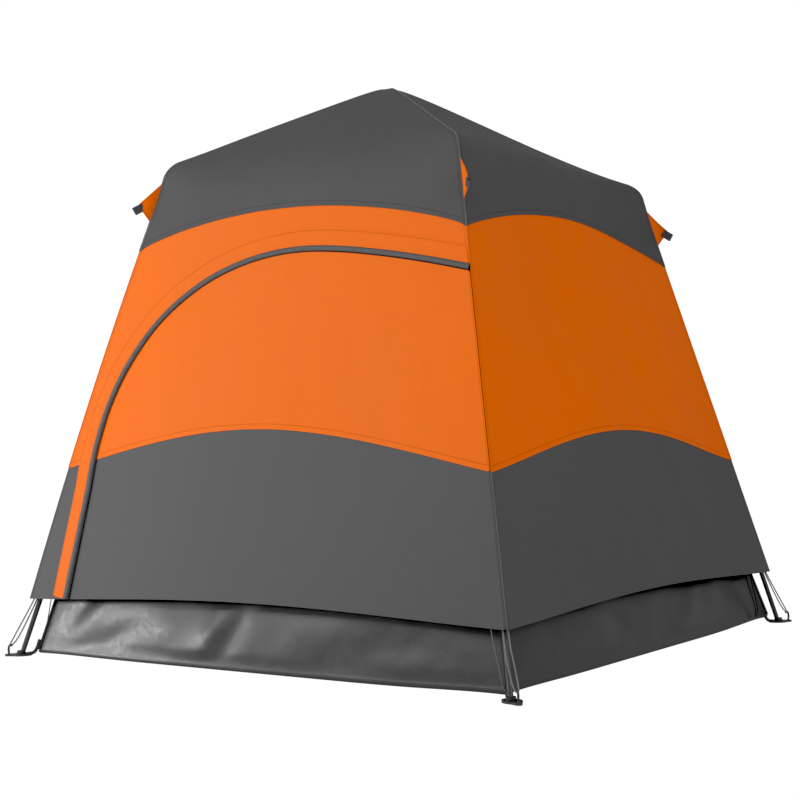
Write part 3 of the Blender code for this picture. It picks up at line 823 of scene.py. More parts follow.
def make_fly_walls():
    """The band and the skirt round all four walls, then the door leaf inside the zip."""
    tops = [lapped(high, LAP) for high in HIGH_SEAMS]
    under = [lapped(low, LAP) for low in LOW_SEAMS]
    seam = LOW_SEAMS[0]
    jamb = beside(ZIP, JAMB_GAP)
    door = beside(ZIP, -DOOR_EDGE)

    i = crossing_index(jamb, seam)
    end = jamb[-1][1]
    front = np.vstack([seam_run(seam, -corner_of(seam), jamb[i][0]), jamb[i:], [(half_at(end), end)],
                       seam_run(tops[0], corner_of(tops[0]), -corner_of(tops[0]))])
    sides = [(k, wall_outline(LOW_SEAMS[k], tops[k])) for k in (1, 2, 3)]
    band = cloth_panels("fly_band", [(0, front)] + sides, MATERIALS["band"], LAYER)
    settle_on(band, replaces=each_face("fly_band_"))

    i = crossing_index(jamb, under[0])
    front = np.vstack([seam_run(HEM, -corner_of(HEM), jamb[0][0]), jamb[:i],
                       seam_run(under[0], jamb[i - 1][0], -corner_of(under[0]))])
    sides = [(k, wall_outline(HEM, under[k])) for k in (1, 2, 3)]
    skirt = cloth_panels("fly_skirt", [(0, front)] + sides, MATERIALS["skirt"], 0.0)
    settle_on(skirt, replaces=each_face("fly_skirt_"))

    i = crossing_index(door, seam)
    end = door[-1][1]
    leaf = np.vstack([seam_run(seam, door[i][0], corner_of(seam, DOOR_INSET)),
                      [(half_at(end) - DOOR_INSET, end)], door[i:][::-1]])
    door_band = cloth_panels("fly_door_band_cloth", [(0, leaf)], MATERIALS["band"], LAYER)
    settle_on(door_band, replaces=["fly_door_band"], body="fly_door")

    i = crossing_index(door, under[0])
    leaf = np.vstack([seam_run(HEM, door[0][0], corner_of(HEM, DOOR_INSET)),
                      seam_run(under[0], corner_of(under[0], DOOR_INSET), door[i - 1][0]), door[:i][::-1]])
    door_skirt = cloth_panels("fly_door_skirt_cloth", [(0, leaf)], MATERIALS["skirt"], 0.0)
    settle_on(door_skirt, replaces=["fly_door_skirt"], body="fly_door")


def canopy_profile(k, s):
    """(d, z) up one line of wall k's canopy at s: the wall's top, the bend at the shoulder and the roof."""
    rise = (PEAK_Z - SHOULDER_Z) / SHOULDER_HALF
    start_z = float(seam_height(HIGH_SEAMS[k], s))
    bend = CORNER_BEND + (MIDDLE_BEND - CORNER_BEND) * (1 - abs(s) ** 3)
    corner = np.array((SHOULDER_HALF, SHOULDER_Z))
    wall_way = np.array((WALL_LEAN, -1.0)) / math.hypot(1, WALL_LEAN)
    roof_way = np.array((-1.0, rise)) / math.hypot(1, rise)
    low = corner + bend * wall_way
    high = corner + bend * roof_way
    start = np.array((half_at(start_z), start_z))
    wall = [start + (low - start) * t for t in np.linspace(0, 1, 13)[:-1]]
    arc = [(1 - t) ** 2 * low + 2 * t * (1 - t) * corner + t * t * high for t in np.linspace(0, 1, 19)[:-1]]
    roof = [high + (np.array((0.0, PEAK_Z)) - high) * t for t in np.linspace(0, 1, 31)]
    line = np.array(wall + arc + roof)
    over = PEAK_Z - rise * np.sqrt(line[:, 0] ** 2 + PEAK_ROUND**2)
    line[:, 1] = np.minimum(line[:, 1], over)
    return line


def peak_shifted(points, reach):
    """Roof points moved with the peak, which stands off centre, in proportion to how near they are to it."""
    share = np.clip(1 - reach / SHOULDER_HALF, 0, 1)
    points[:, 0] += PEAK_SHIFT[0] * share
    points[:, 1] += PEAK_SHIFT[1] * share
    return points


def make_canopy():
    """The roof and the wall above the orange band: one sheet over all four sides."""
    high, side = [], []

    def column(k, s):
        line = canopy_profile(k, s)
        reach, z = line[:, 0], line[:, 1]
        way = unit_run(line)
        out = np.column_stack([np.zeros(len(line)), -way[:, 1], -way[:, 0]])
        world = turn_quarter(np.column_stack([s * reach, -reach, z]), k)
        depth = 2 * LAYER - settle(world, np.full(len(line), s), z)
        world = world + depth[:, None] * turn_quarter(out, k)
        length = run_lengths(line)
        high.append(length)
        side.append(reach * (1 - abs(s)) * RIDGE_SLANT)
        return settled(peak_shifted(world, reach)), (s * reach, length + z[0])

    columns = np.linspace(-1, 1, 65)
    obj = four_sided("fly_canopy", columns, len(canopy_profile(0, 0.0)), column, MATERIALS["canopy"])
    add_values(obj, "high", np.concatenate(high))
    add_values(obj, "side", np.concatenate(side))
    with edited(obj) as bm:
        bmesh.ops.remove_doubles(bm, verts=bm.verts, dist=0.0004)
        sides = bm.verts.layers.float["side"]
        for edge in bm.edges:
            edge.smooth = not all(vert[sides] < ON_SEAM for vert in edge.verts)
    thicken(obj, CLOTH)
    settle_on(obj, replaces=each_face("fly_roof_"))


# Tapes, piping and cords swept along lines


def sweep(name, centres, across, up, profile, material):
    """A closed profile of (across, up) offsets carried along the centres, with capped ends."""
    count = len(profile)
    rings = len(centres)
    verts = [c + a * x + n * y for c, a, n in zip(centres, across, up) for x, y in profile]
    faces = tube_faces(rings, count)
    faces.append(tuple(range(count))[::-1])
    faces.append(tuple((rings - 1) * count + j for j in range(count)))
    obj = new_object(name, verts, faces, material)
    tidy_normals(obj)
    add_uv(obj, [(x, length) for length in run_lengths(centres) for x, _ in profile])
    return obj


def along_zip(path, lift):
    """Centres, sideways and outward directions for a sweep on the front wall."""
    here = on_wall(0, path[:, 0], path[:, 1], lift)
    left = left_of(path)
    ahead = on_wall(0, path[:, 0] + left[:, 0] * 0.004, path[:, 1] + left[:, 1] * 0.004, lift)
    across = unit_rows(ahead - here)
    up = unit_rows(np.cross(np.gradient(here, axis=0), across))
    up *= np.sign(up @ WALL_NORMAL)[:, None]
    return here, across, up


def strip_profile(low, high, height, base=0.0):
    """A closed outline of a flat strip with rounded edges, sunk a little into what it lies on."""
    middle = (low + high) / 2
    reach = (high - low) / 2
    angles = np.radians(np.linspace(0, 180, 13))
    top = [(middle + reach * math.copysign(abs(math.cos(a)) ** 0.35, math.cos(a)),
            base + height * math.sin(a) ** 0.5) for a in angles]
    return top + [(low, base - STRIP_SINK), (high, base - STRIP_SINK)]


def flap_ring(share):
    """The flap's section at this share of the zip's length: a roll of cloth open along its inner side."""
    ease = min(1.0, share * FLAP_TAPER)
    width = FLAP_WIDTH[0] + (FLAP_WIDTH[1] - FLAP_WIDTH[0]) * ease
    height = FLAP_HEIGHT[0] + (FLAP_HEIGHT[1] - FLAP_HEIGHT[0]) * ease
    middle = FLAP_EDGE - width / 2

    angles = np.radians(np.linspace(0, 172, 14))

    def shell(half, rise, least, turns):
        return [(middle + half * math.cos(a), max(least, rise * math.sin(a) ** 0.85)) for a in turns]

    outer = shell(width / 2, height, 0.0, angles)
    return outer + shell(width / 2 - FLAP_CLOTH, height - FLAP_CLOTH, FLAP_LEAST, angles[::-1])


def make_zip_flap(centres, across, up):
    """The flap over the zip, closed at both ends."""
    count = len(centres)
    rings = [flap_ring(i / (count - 1)) for i in range(count)]
    ring = len(rings[0])
    verts = [centres[i] + across[i] * x + up[i] * y for i in range(count) for x, y in rings[i]]
    faces = tube_faces(count, ring)
    for first in (0, (count - 1) * ring):
        for j in range(ring // 2 - 1):
            quad = (first + j, first + j + 1, first + ring - 2 - j, first + ring - 1 - j)
            faces.append(quad if first == 0 else quad[::-1])
    flap = new_object("zip_flap", verts, faces, MATERIALS["flap"])
    tidy_normals(flap)
    settle_on(flap)


def make_zip_coil():
    """The zip's teeth, as a beaded cord."""
    fine = resample(ZIP, ZIP_TOOTH)
    middle, sideways, out = along_zip(fine, LAYER)
    angles = np.radians(np.arange(0, 360, 60))
    verts = []
    for i in range(len(fine)):
        radius = TOOTH_RADIUS[i % 2]
        for angle in angles:
            offset = sideways[i] * (1.15 * radius * math.cos(angle))
            verts.append(middle[i] + offset + out[i] * (0.0011 + 0.8 * radius * math.sin(angle)))
    coil = new_object("zip_coil", verts, tube_faces(len(fine), len(angles)), MATERIALS["tape"])
    settle_on(coil)


def make_zip():
    """The flap, tape and teeth along the zip's line, the door's dark bound edge, which also stands as painted
    shade beside the flap, and the placket outside.
    """
    centres, across, up = along_zip(ZIP, LAYER)
    make_zip_flap(centres, across, up)
    for name, edges, height, body, replaced in (
        ("zip_tape_strip", ZIP_TAPE, 0.0007, "tent", ["zip_tape"]),
        # the door's binding is real, and its near-black strip beside the flap also serves as painted shade
        ("door_edge_tape_and_shade", DOOR_TAPE, 0.0010, "fly_door", []),
    ):
        strip = sweep(name, centres, across, up, strip_profile(*edges, height), MATERIALS["tape"])
        settle_on(strip, replaces=replaced, body=body)
    make_zip_coil()
    inner, outer = (within_wall(beside(ZIP, distance)) for distance in PLACKET)
    outline = np.vstack([inner, outer[::-1]])
    placket = cloth_panels("placket", [(0, outline)], MATERIALS["placket"], 2 * LAYER, follows_zip=True)
    settle_on(placket)


def make_slider():
    """The zip's slider and pull: a copy of the CAD part in black nylon, on the slider's body."""
    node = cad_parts["zip_slider"]
    mesh = node.data.copy()
    mesh.transform(node.matrix_world)
    mesh.materials.clear()
    mesh.materials.append(MATERIALS["plastic"])
    settle_on(placed("slider_and_pull", mesh), replaces=["zip_slider"], body="zip_slider")


def within_wall(path):
    """The path as far as the front wall's right corner, and not below the hem."""
    limit = half_at(path[:, 1]) - 0.0015
    return path[(path[:, 0] < limit) & (path[:, 1] > seam_at(HEM, path[:, 0]) - 1e-6)]


def corner_line(k, low, high, lift):
    """Points up a corner of the walls."""
    z = np.linspace(low, high, 30)
    return settled(up_corner(k, half_at(z) + lift, z))


def round_cord(name, points, radius, look, squash=OVER_FRAME, replaces=(), sides=8):
    """A round cord along points, on the tent."""
    points = np.asarray(points, float)
    run = unit_run(points)
    across = []
    hint = np.array((0.31, 0.27, 0.91)) if abs(run[0][2]) < 0.9 else np.array((1.0, 0.2, 0.0))
    for way in run:
        side = hint - way * (hint @ way)
        side /= np.linalg.norm(side)
        across.append(side)
        hint = side
    across = np.array(across)
    angles = np.radians(np.arange(sides) * 360 / sides)
    profile = [(radius * math.cos(a), radius * math.sin(a)) for a in angles]
    cord = sweep(name, points, across, np.cross(run, across), profile, MATERIALS[look])
    settle_on(cord, squash, replaces)


def make_piping():
    """The bound corner seams: grey up the skirt, orange up the band, grey over the shoulder and the ridge."""
    for k, corner in enumerate(CORNERS):
        ridge = canopy_profile(k, 1.0)
        ridge = ridge[ridge[:, 0] > RIDGE_END]
        points = up_corner(k, ridge[:, 0] + 2 * LAYER, ridge[:, 1] + LAYER)
        seam, top = LOW_SEAMS[0][0], HIGH_SEAMS[k][0]
        for part, line, look, slot in (
            ("skirt", corner_line(k, HEM_Z, seam, 0.0), "grey_piping", "grey_cloth"),
            ("band", corner_line(k, seam, top, LAYER), "orange_piping", "orange_cloth"),
            ("canopy", settled(peak_shifted(points, ridge[:, 0])), "grey_piping", "grey_cloth"),
        ):
            round_cord(f"piping_{part}_{corner}", line, PIPING_RADIUS, look)


# Tub floor


DENTS = (
    # wall, u, z, half length, half width, slant in degrees, depth
    (0, -0.84, 0.110, 0.060, 0.040, 65, -0.0030),
    (0, -0.77, 0.140, 0.080, 0.034, 45, 0.0042),
    (0, -0.67, 0.140, 0.110, 0.040, 38, -0.0040),
    (0, -0.58, 0.070, 0.150, 0.038, 20, 0.0045),
    (0, -0.36, 0.100, 0.110, 0.040, 14, -0.0015),
    (0, -0.16, 0.110, 0.090, 0.034, 58, -0.0050),
    (0, -0.07, 0.115, 0.090, 0.034, 58, 0.0050),
    (0, 0.50, 0.100, 0.250, 0.050, 8, 0.0030),
    (1, -0.20, 0.120, 0.160, 0.050, -35, 0.0030),
    (1, 0.30, 0.120, 0.120, 0.045, 40, -0.0040),
    (1, 0.62, 0.110, 0.110, 0.040, -30, 0.0040),
    (2, -0.40, 0.110, 0.140, 0.045, 30, 0.0050),
    (2, 0.35, 0.100, 0.130, 0.045, -25, -0.0050),
    (3, -0.30, 0.110, 0.130, 0.045, 35, 0.0050),
    (3, 0.45, 0.100, 0.130, 0.040, -30, 0.0045),
)
TUB_HALF = BASE_HALF - INNER_INSET
TUB_EDGE_ROUND = 0.009
TUB_EDGE_TURN = 76.4
TUB_BULGE = 0.006
TUB_SHEET = 0.0009
TUB_BINDING = 0.0045
# How far the straps lift the tub's bottom at each corner, draw it outwards, and how wide a stretch of it
TUB_LIFT = (0.012, 0.021, 0.012, 0.007)
TUB_DRAW = (0.0, 0.010, 0.0, -0.004)
TUB_PULL_REACH = 0.28
# How far the bottom edge of each side stands off the ground between the corners
RIM_LIFT = (0.006, 0.012, 0.007, 0.006)


def pulled(points):
    """The tub's points with its lower corners lifted and drawn by their straps."""
    out = np.array(points, float)
    low = 1 - np.clip(points[:, 2] / TUB_HEIGHT, 0, 1)
    for k, (lift, draw) in enumerate(zip(TUB_LIFT, TUB_DRAW)):
        at = turn_quarter(np.array((1.0, -1.0)) * TUB_HALF, k)
        gap = np.hypot(points[:, 0] - at[0], points[:, 1] - at[1])
        near = np.exp(-(gap / TUB_PULL_REACH) ** 2)
        out[:, 2] += lift * low * near
        out[:, :2] += (draw * near * (0.4 + 0.6 * low))[:, None] * at / np.linalg.norm(at)
    return out


def tub_dents(k, u, z):
    """Inward push of the soft tub side."""
    push = np.zeros_like(u)
    for wall, at_u, at_z, long, wide, slant, depth in DENTS:
        if wall != k:
            continue
        cos, sin = math.cos(math.radians(slant)), math.sin(math.radians(slant))
        a = ((u - at_u) * cos + (z - at_z) * sin) / long
        b = (-(u - at_u) * sin + (z - at_z) * cos) / wide
        push += depth * np.exp(-a * a - b * b)
    return push


def tub_profile():
    """(distance from the middle, z) from the floor's centre out to the edge and up a side."""
    flat = [((TUB_HALF - TUB_EDGE_ROUND) * t, 0.0) for t in np.linspace(0.05, 1, 22)[:-1]]
    curve = [(TUB_HALF - TUB_EDGE_ROUND * (1 - math.sin(a)), TUB_EDGE_ROUND * (1 - math.cos(a)))
             for a in np.radians(np.linspace(0, TUB_EDGE_TURN, 7))]
    side = [(inner_half_at(z), z) for z in np.linspace(0.016, TUB_HEIGHT, 28)]
    return np.array(flat + curve + side)


def tub_column(k, s):
    """One line of the tub's points up wall k at s, dented, bulged and pulled, and their (u, v)."""
    d, z = tub_profile().T
    u = s * d
    world = turn_quarter(np.column_stack([u, -d, z]), k)
    push = tub_dents(k, u, z) + ripples(world, *TUB_WAVES)
    bulge = TUB_BULGE * np.sin(math.pi * np.clip(z / TUB_HEIGHT, 0, 1))
    depth = smooth_step(z, 0.012, 0.06) * (1 - abs(s) ** 8) * (bulge - push)
    world = pushed(world, depth, k)
    floor = (1 - smooth_step(z, 0.0, 0.004)) * smooth_step(d, 0.05, 0.2) * (1 - smooth_step(d, 0.82, 0.89))
    world[:, 2] += floor * (FLOOR_WAVE[0] + ripples(world, FLOOR_WAVE)).clip(0, 2 * FLOOR_WAVE[0])
    rim = smooth_step(d, 0.76, 0.90) * (1 - np.clip(z / TUB_HEIGHT, 0, 1))
    world[:, 2] += RIM_LIFT[k] * (1 - s**4) * rim
    return pulled(world), (u, z + (BASE_HALF - d))


def close_tub(obj):
    """Joins the four sides, closes the hole left at the floor's centre and keeps the corners crisp."""
    with edited(obj) as bm:
        bmesh.ops.remove_doubles(bm, verts=bm.verts, dist=0.0002)
        rims = [edge for edge in bm.edges if edge.is_boundary]
        inner = [edge for edge in rims if max(abs(c) for c in edge.verts[0].co.xy) < 0.2]
        bmesh.ops.holes_fill(bm, edges=inner)
        bmesh.ops.recalc_face_normals(bm, faces=bm.faces)
        middles = ((face, face.calc_center_median()) for face in bm.faces)
        side = next(face for face, middle in middles if middle.y < -0.8 and middle.z > 0.15)
        if side.normal.y > 0:
            bmesh.ops.reverse_faces(bm, faces=bm.faces)
        for edge in bm.edges:
            on_corner = all(abs(abs(v.co.x) - abs(v.co.y)) < ON_SEAM for v in edge.verts)
            edge.smooth = not (on_corner and min(v.co.z for v in edge.verts) > 0.01)


def make_tub():
    """The floor and its sides: one glossy sheet, rounded at its lower edge, with bound corners."""
    columns = np.linspace(-1, 1, 121)
    obj = four_sided("tub_floor", columns, len(tub_profile()), tub_column, MATERIALS["tub"])
    close_tub(obj)
    thicken(obj, TUB_SHEET)
    settle_on(obj, UNDER_FRAME, ["floor_tub"])

    for k, corner in enumerate(CORNERS):
        z = np.linspace(0.012, TUB_HEIGHT, 24)
        points = pulled(up_corner(k, inner_half_at(z) + 0.001, z))
        round_cord("tub_corner_binding_" + corner, points, TUB_BINDING, "black", UNDER_FRAME)


# Inner tent


def doorway(half, bottom):
    """A straight-sided opening with a round head, from its lower left corner over to its lower right one."""
    turn = np.radians(np.linspace(0, 180, 40))
    arch = np.column_stack([-half * np.cos(turn), INNER_DOOR_SPRING + half * np.sin(turn)])
    return np.vstack([[(-half, bottom)], arch, [(half, bottom)]])


def make_inner_walls():
    bottom, top = TUB_HEIGHT + 0.0015, INNER_ROOF_BASE - 0.003
    low, high = inner_half_at(bottom), inner_half_at(top)
    sides = [(low, bottom), (high, top), (-high, top)]
    front = np.vstack([[(-low, bottom)], doorway(INNER_DOOR_HALF, bottom), sides])
    plain = np.array([(-low, bottom)] + sides)
    parts = [(0, front)] + [(k, plain) for k in (1, 2, 3)]
    walls = cloth_panels("inner_walls", parts, MATERIALS["inner"], 0.0, inner_on_wall)
    settle_on(walls, UNDER_FRAME, each_face("inner_wall_"))

    leaf = doorway(INNER_DOOR_HALF - INNER_DOOR_GAP, bottom)
    door = cloth_panels("inner_door_leaf", [(0, leaf)], MATERIALS["inner"], 0.0, inner_on_wall)
    settle_on(door, UNDER_FRAME, ["inner_door"], body="inner_door")


def make_roof_net():
    """The inner tent's mesh roof: four slack triangles."""
    rows = np.linspace(0, 1, 20)
    d = (inner_half_at(INNER_ROOF_BASE)) * (1 - rows)

    def column(k, s):
        sag = ROOF_SAG * np.sin(math.pi * rows) * (1 - s**2)
        z = INNER_ROOF_BASE + (INNER_PEAK_Z - INNER_ROOF_BASE) * rows - sag
        return turn_quarter(np.column_stack([s * d, -d, z]), k), (s * d, rows * 0.6)

    roof = four_sided("inner_roof_net", np.linspace(-1, 1, 25), len(rows), column, MATERIALS["net"])
    with edited(roof) as bm:
        bmesh.ops.remove_doubles(bm, verts=bm.verts, dist=0.0002)
    thicken(roof, NET_THICKNESS)
    settle_on(roof, UNDER_FRAME, ["inner_roof"])


# Corner fittings, worked out with X along the corner's diagonal

STRAP_RADIUS = 0.0056
STRAP_LINE = ((1.292, 0.052), (1.301, 0.022), (1.312, 0.0085), (1.326, 0.0065), (1.338, 0.0060))
# Half the foot plate's outline, (along, across) from the inner end to the outer one
PLATE_HALF = ((1.318, 0.012), (1.330, 0.021), (1.346, 0.027), (1.364, 0.025), (1.380, 0.014),
              (1.400, 0.009))
PLATE_TIP = (1.405, 0.0)
PLATE_TOP = 0.0080
PLATE_THICKNESS = 0.0068
PLATE_BEVEL = 0.0010
HOLE_R = 0.0166
HOOK_RADIUS = 0.0036
HOOK_LINE = ((1.391, 0.0, 0.006), (1.393, 0.0, 0.020), (1.392, 0.0, 0.034), (1.386, 0.0, 0.040),
             (1.380, 0.0, 0.035))
# How far each foot's tip points sideways, per metre
FOOT_SWING = {"front_right": 0.16, "back_right": 0.0, "back_left": 0.10, "front_left": 0.0}

CORD_RADIUS = 0.0023
CORD_LINE = ((1.3000, 0.0060, 0.208), (1.3050, 0.0060, 0.190), (1.3740, 0.0062, 0.066),
             (1.3890, 0.0040, 0.0380), (1.3895, 0.0, 0.0330), (1.3830, -0.0040, 0.0350),
             (1.3600, -0.0062, 0.060), (1.2960, -0.0060, 0.190), (1.2920, -0.0060, 0.208))
TIE_RADIUS = 0.0016
# How far from the corner each thin tie leaves the hem and reaches the tub, and its look; the back right ties
# are drawn in the dark tape look as painted shade, the others in light cord
TIES = {
    "front_right": ((0.058, 0.008, "cord"),),
    # painted shade: these cords are drawn dark because they lie in shade at this corner
    "back_right": ((0.172, 0.118, "tape"), (0.215, 0.134, "tape")),
    "back_left": ((0.088, 0.040, "cord"),),
    "front_left": ((0.088, 0.040, "cord"),),
}

# Lower and upper end of each guy flap on its corner seam, and how far it hangs sideways, per metre
FLAP_SEAMS = {"front_right": (1.407, 1.541), "back_right": (1.402, 1.534),
              "back_left": (1.420, 1.552), "front_left": (1.424, 1.558)}
FLAP_SWING = {"front_right": 0.12, "back_right": 0.0, "back_left": 0.0, "front_left": 0.0}
# The flap's two free corners, (out, up) from its lower end
FLAP_TIPS = ((0.025, 0.033), (0.039, 0.058))
FLAP_BOW = 0.004
FLAP_THICKNESS = 0.0016
LOOP_LINE = ((-0.012, 0.0016), (0.014, 0.0026), (0.023, 0.0022), (0.026, 0.0), (0.023, -0.0022),
             (0.014, -0.0026), (-0.012, -0.0016))
LOOP_HALF_WIDTH = 0.0132
LOOP_THICKNESS = 0.0014


def at_corner(points, k):
    """Points (along the diagonal, across it, z) moved to corner k."""
    angle = math.radians(90 * k - 45)
    return turned(np.asarray(points, float), math.cos(angle), math.sin(angle))


def swung(points, corner):
    """Points (along, across, z) with what lies beyond the foot swung sideways, as it was set down askew."""
    out = np.array(points, float)
    out[:, 1] += FOOT_SWING[corner] * np.clip(out[:, 0] - FOOT_R + 0.02, 0, None)
    return out


def smooth_line(points, step):
    """A rounded line through a few points."""
    points = np.asarray(points, float)
    for _ in range(3):
        cut = [points[0]]
        for a, b in zip(points[:-1], points[1:]):
            cut += [a * 0.75 + b * 0.25, a * 0.25 + b * 0.75]
        cut.append(points[-1])
        points = np.array(cut)
    return resample(points, step)


def make_strap(k, corner):
    """Rolled webbing from the tub's corner to the foot."""
    line = smooth_line([(along, 0.0, z) for along, z in STRAP_LINE], 0.004)
    round_cord("strap_" + corner, at_corner(line, k), STRAP_RADIUS, "black", UNDER_FRAME,
               ["corner_strap_" + corner], sides=10)


def make_foot_plate(k, corner):
    """The plate round the foot, with the leg's hole through it."""
    other_half = [(along, -across) for along, across in PLATE_HALF]
    ring = np.array(other_half + [PLATE_TIP] + list(PLATE_HALF[::-1]) + other_half[:1])
    outline = resample(ring, 0.004)[:-1]
    angles = np.radians(np.arange(0, 360, 15))
    hole = np.column_stack([FOOT_R + HOLE_R * np.cos(angles), HOLE_R * np.sin(angles)])
    coords = [Vector(p) for p in np.vstack([outline, hole])]
    rings = [list(range(len(outline))), list(range(len(outline), len(coords)))]
    edges = [(ring[i - 1], ring[i]) for ring in rings for i in range(len(ring))]
    result = delaunay_2d_cdt(coords, edges, [], 0, 1e-7)
    flat = np.array([tuple(p) for p in result[0]])
    middles = np.array([flat[list(face)].mean(axis=0) for face in result[2]])
    kept = inside(middles, outline) & (np.hypot(middles[:, 0] - FOOT_R, middles[:, 1]) > HOLE_R - 0.0004)
    faces = facing_up(flat, [face for face, keep in zip(result[2], kept) if keep])
    points = at_corner(swung(np.column_stack([flat, np.full(len(flat), PLATE_TOP)]), corner), k)
    plate = new_object("foot_plate_" + corner, points, faces, MATERIALS["plastic"], smooth=False)
    thicken(plate, PLATE_THICKNESS)
    bevel = plate.modifiers.new("Bevel", "BEVEL")
    bevel.width = PLATE_BEVEL
    bevel.segments = 2
    settle_on(plate, None)


def make_cord_hook(k, corner):
    """The hook on the plate's tip."""
    line = swung(smooth_line(HOOK_LINE, 0.002), corner)
    round_cord("cord_hook_" + corner, at_corner(line, k), HOOK_RADIUS, "plastic", None)


def make_cords(k, corner):
    """The doubled elastic cord from the hem to the hook, and the thin ties from the hem to the tub."""
    loop = swung(smooth_line(CORD_LINE, 0.004), corner)
    round_cord("elastic_" + corner, at_corner(loop, k), CORD_RADIUS, "cord", LOW_CORDS,
               ["shock_cord_" + corner])
    hem = half_at(HEM_Z)
    for number, (leaves, reaches, look) in enumerate(TIES[corner]):
        end = turn_quarter(np.array([(TUB_HALF - reaches, -TUB_HALF, 0.020)]), k)
        end = turn_quarter(pulled(end), -k)[0]
        line = smooth_line([(hem - leaves, -hem + 0.014, 0.225), (hem - leaves, -hem + 0.006, 0.188),
                            end + (0.0, -0.012, 0.030), end + (0.0, -0.006, 0.0)], 0.006)
        line = turn_quarter(line, k)
        round_cord(f"tie_{number}_{corner}", line, TIE_RADIUS, look, LOW_TIES)


def corner_edge(z):
    """How far along the diagonal the fly's corner seam lies at this height."""
    return ROOT_TWO * half_at(z) + 0.001


def hung(flat, across, k, corner):
    """Points (along, z) of a guy flap with their offsets across, swung and moved to its corner."""
    side = FLAP_SWING[corner] * (flat[:, 0] - corner_edge(flat[:, 1]))
    return settled(at_corner(np.column_stack([flat[:, 0], across + side, flat[:, 1]]), k))


def make_guy_flap(k, corner, ends, tips):
    """The doubled orange flap, sewn into the corner seam between its two ends."""
    outline = np.array([ends[0], *tips, ends[1]])
    flat, triangles = cut_panel(outline, 0.006)
    triangles = facing_up(flat, triangles)
    low, high = ends[0][1], ends[1][1]
    out = (flat[:, 0] - corner_edge(flat[:, 1])) / 0.05
    bow = FLAP_BOW * np.sin(out * math.pi) * np.sin((flat[:, 1] - low) / (high - low) * math.pi)
    flap = new_object("guy_flap_" + corner, hung(flat, bow, k, corner), triangles, MATERIALS["plain_orange"])
    add_uv(flap, flat)
    add_values(flap, "edge", clearance(flat, resample(outline, 0.001)))
    thicken(flap, FLAP_THICKNESS, 0.0)
    settle_on(flap, replaces=["guy_tab_" + corner])


def make_guy_loop(k, corner, tips):
    """The webbing loop sewn to the flap's outer edge."""
    width = tips[1] - tips[0]
    width /= np.linalg.norm(width)
    out = np.array((width[1], -width[0]))
    loop = smooth_line(LOOP_LINE, 0.0015)
    reach = (tips[0] + tips[1]) / 2 + loop[:, :1] * out
    centres = hung(reach, loop[:, 1], k, corner)
    across = np.tile(at_corner([(width[0], 0.0, width[1])], k), (len(loop), 1))
    profile = strip_profile(-LOOP_HALF_WIDTH, LOOP_HALF_WIDTH, LOOP_THICKNESS, -LOOP_THICKNESS / 2)
    loop = sweep("guy_loop_" + corner, centres, across, np.cross(unit_run(centres), across), profile,
                 MATERIALS["black"])
    settle_on(loop)


def make_guy_tab(k, corner):
    """The flap on the corner seam and the webbing loop at its tip, which slopes down."""
    low, high = FLAP_SEAMS[corner]
    tips = [np.array((corner_edge(low) + out, low + up)) for out, up in FLAP_TIPS]
    make_guy_flap(k, corner, ((corner_edge(low), low), (corner_edge(high), high)), tips)
    make_guy_loop(k, corner, tips)


def dress_frame():
    """Finishes the CAD solids that stay as they are."""
    looks = {"roof_pole": "steel", "upper_leg": "steel", "lower_leg": "steel", "shoulder_joint": "plastic",
             "leg_lock": "plastic", "lock_button": "button", "hub": "plastic"}
    for name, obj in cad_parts.items():
        for prefix, look in looks.items():
            if name.startswith(prefix):
                obj.data.materials.clear()
                obj.data.materials.append(MATERIALS[look])


# Stage, light and camera


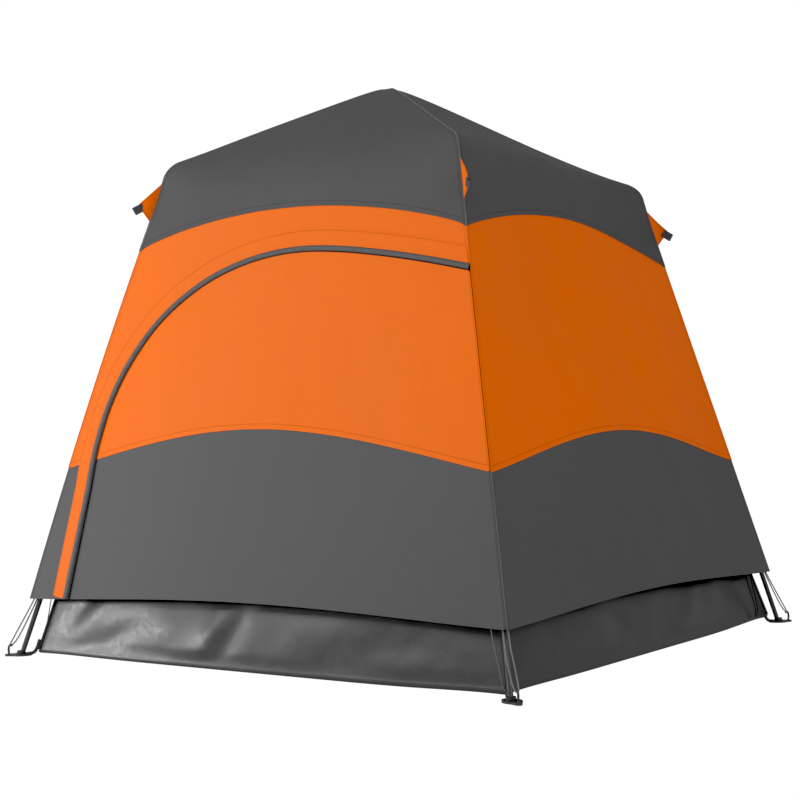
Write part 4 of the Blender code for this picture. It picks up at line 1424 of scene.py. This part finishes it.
def make_stage():
    """A white floor and backdrop. The camera sees them as plain white, and everything else as a lit room."""
    n = Nodes("ground_paint")
    seen = n.add("ShaderNodeLightPath").outputs["Is Camera Ray"]
    for name, value in (
        ("Base Color", n.mix(seen, (0.93, 0.93, 0.93, 1), (0, 0, 0, 1))),
        ("Roughness", 0.9),
        ("Specular IOR Level", 0.0),
        ("Emission Color", (1, 1, 1, 1)),
        ("Emission Strength", n.math("MULTIPLY", seen, BACKDROP)),
    ):
        n.put(n.shader.inputs[name], value)
    corners = [(x, y, -0.001) for x, y in ((-40, -40), (40, -40), (40, 60), (-40, 60))]
    new_object("ground", corners, [(0, 1, 2, 3)], n.material)

    world = bpy.data.worlds.new("studio")
    world.use_nodes = True
    bpy.context.scene.world = world
    tree = world.node_tree
    back = tree.nodes["Background"]
    back.inputs["Color"].default_value = (1, 1, 1, 1)
    path = tree.nodes.new("ShaderNodeLightPath")
    level = tree.nodes.new("ShaderNodeMapRange")
    level.inputs["To Min"].default_value = SKY
    level.inputs["To Max"].default_value = BACKDROP
    tree.links.new(path.outputs["Is Camera Ray"], level.inputs["Value"])
    tree.links.new(level.outputs["Result"], back.inputs["Strength"])


def make_lights():
    for name, place, target, side, power in LIGHTS:
        data = bpy.data.lights.new(name, "AREA")
        data.shape = "RECTANGLE"
        data.size = side
        data.size_y = side
        data.energy = power
        light = placed(name, data)
        light.location = place
        light.rotation_euler = (Vector(target) - Vector(place)).to_track_quat("-Z", "Y").to_euler()


def set_film():
    """Plain colours with a little contrast: the darkest few hundredths of the range fall to black."""
    settings = bpy.context.scene.view_settings
    settings.view_transform = "Standard"
    settings.use_curve_mapping = True
    settings.curve_mapping.black_level = (FILM_BLACK, FILM_BLACK, FILM_BLACK)
    settings.curve_mapping.update()


def make_camera():
    data = bpy.data.cameras.new("camera")
    data.sensor_width = SENSOR
    data.lens = LENS
    data.shift_x, data.shift_y = SHIFT
    camera = placed("camera", data)
    pan, tilt, roll = (math.radians(angle) for angle in CAMERA_TURN)
    turn = Matrix.Rotation(pan, 4, "Z") @ Matrix.Rotation(tilt, 4, "X") @ Matrix.Rotation(roll, 4, "Z")
    camera.matrix_world = Matrix.Translation(CAMERA_PLACE) @ turn
    bpy.context.scene.camera = camera


make_canopy()
make_fly_walls()
make_zip()
make_slider()
make_piping()
make_tub()
make_inner_walls()
make_roof_net()
for quarter, corner_name in enumerate(CORNERS):
    for make in (make_strap, make_foot_plate, make_cord_hook, make_cords, make_guy_tab):
        make(quarter, corner_name)
dress_frame()
make_stage()
make_lights()
make_camera()
set_film()
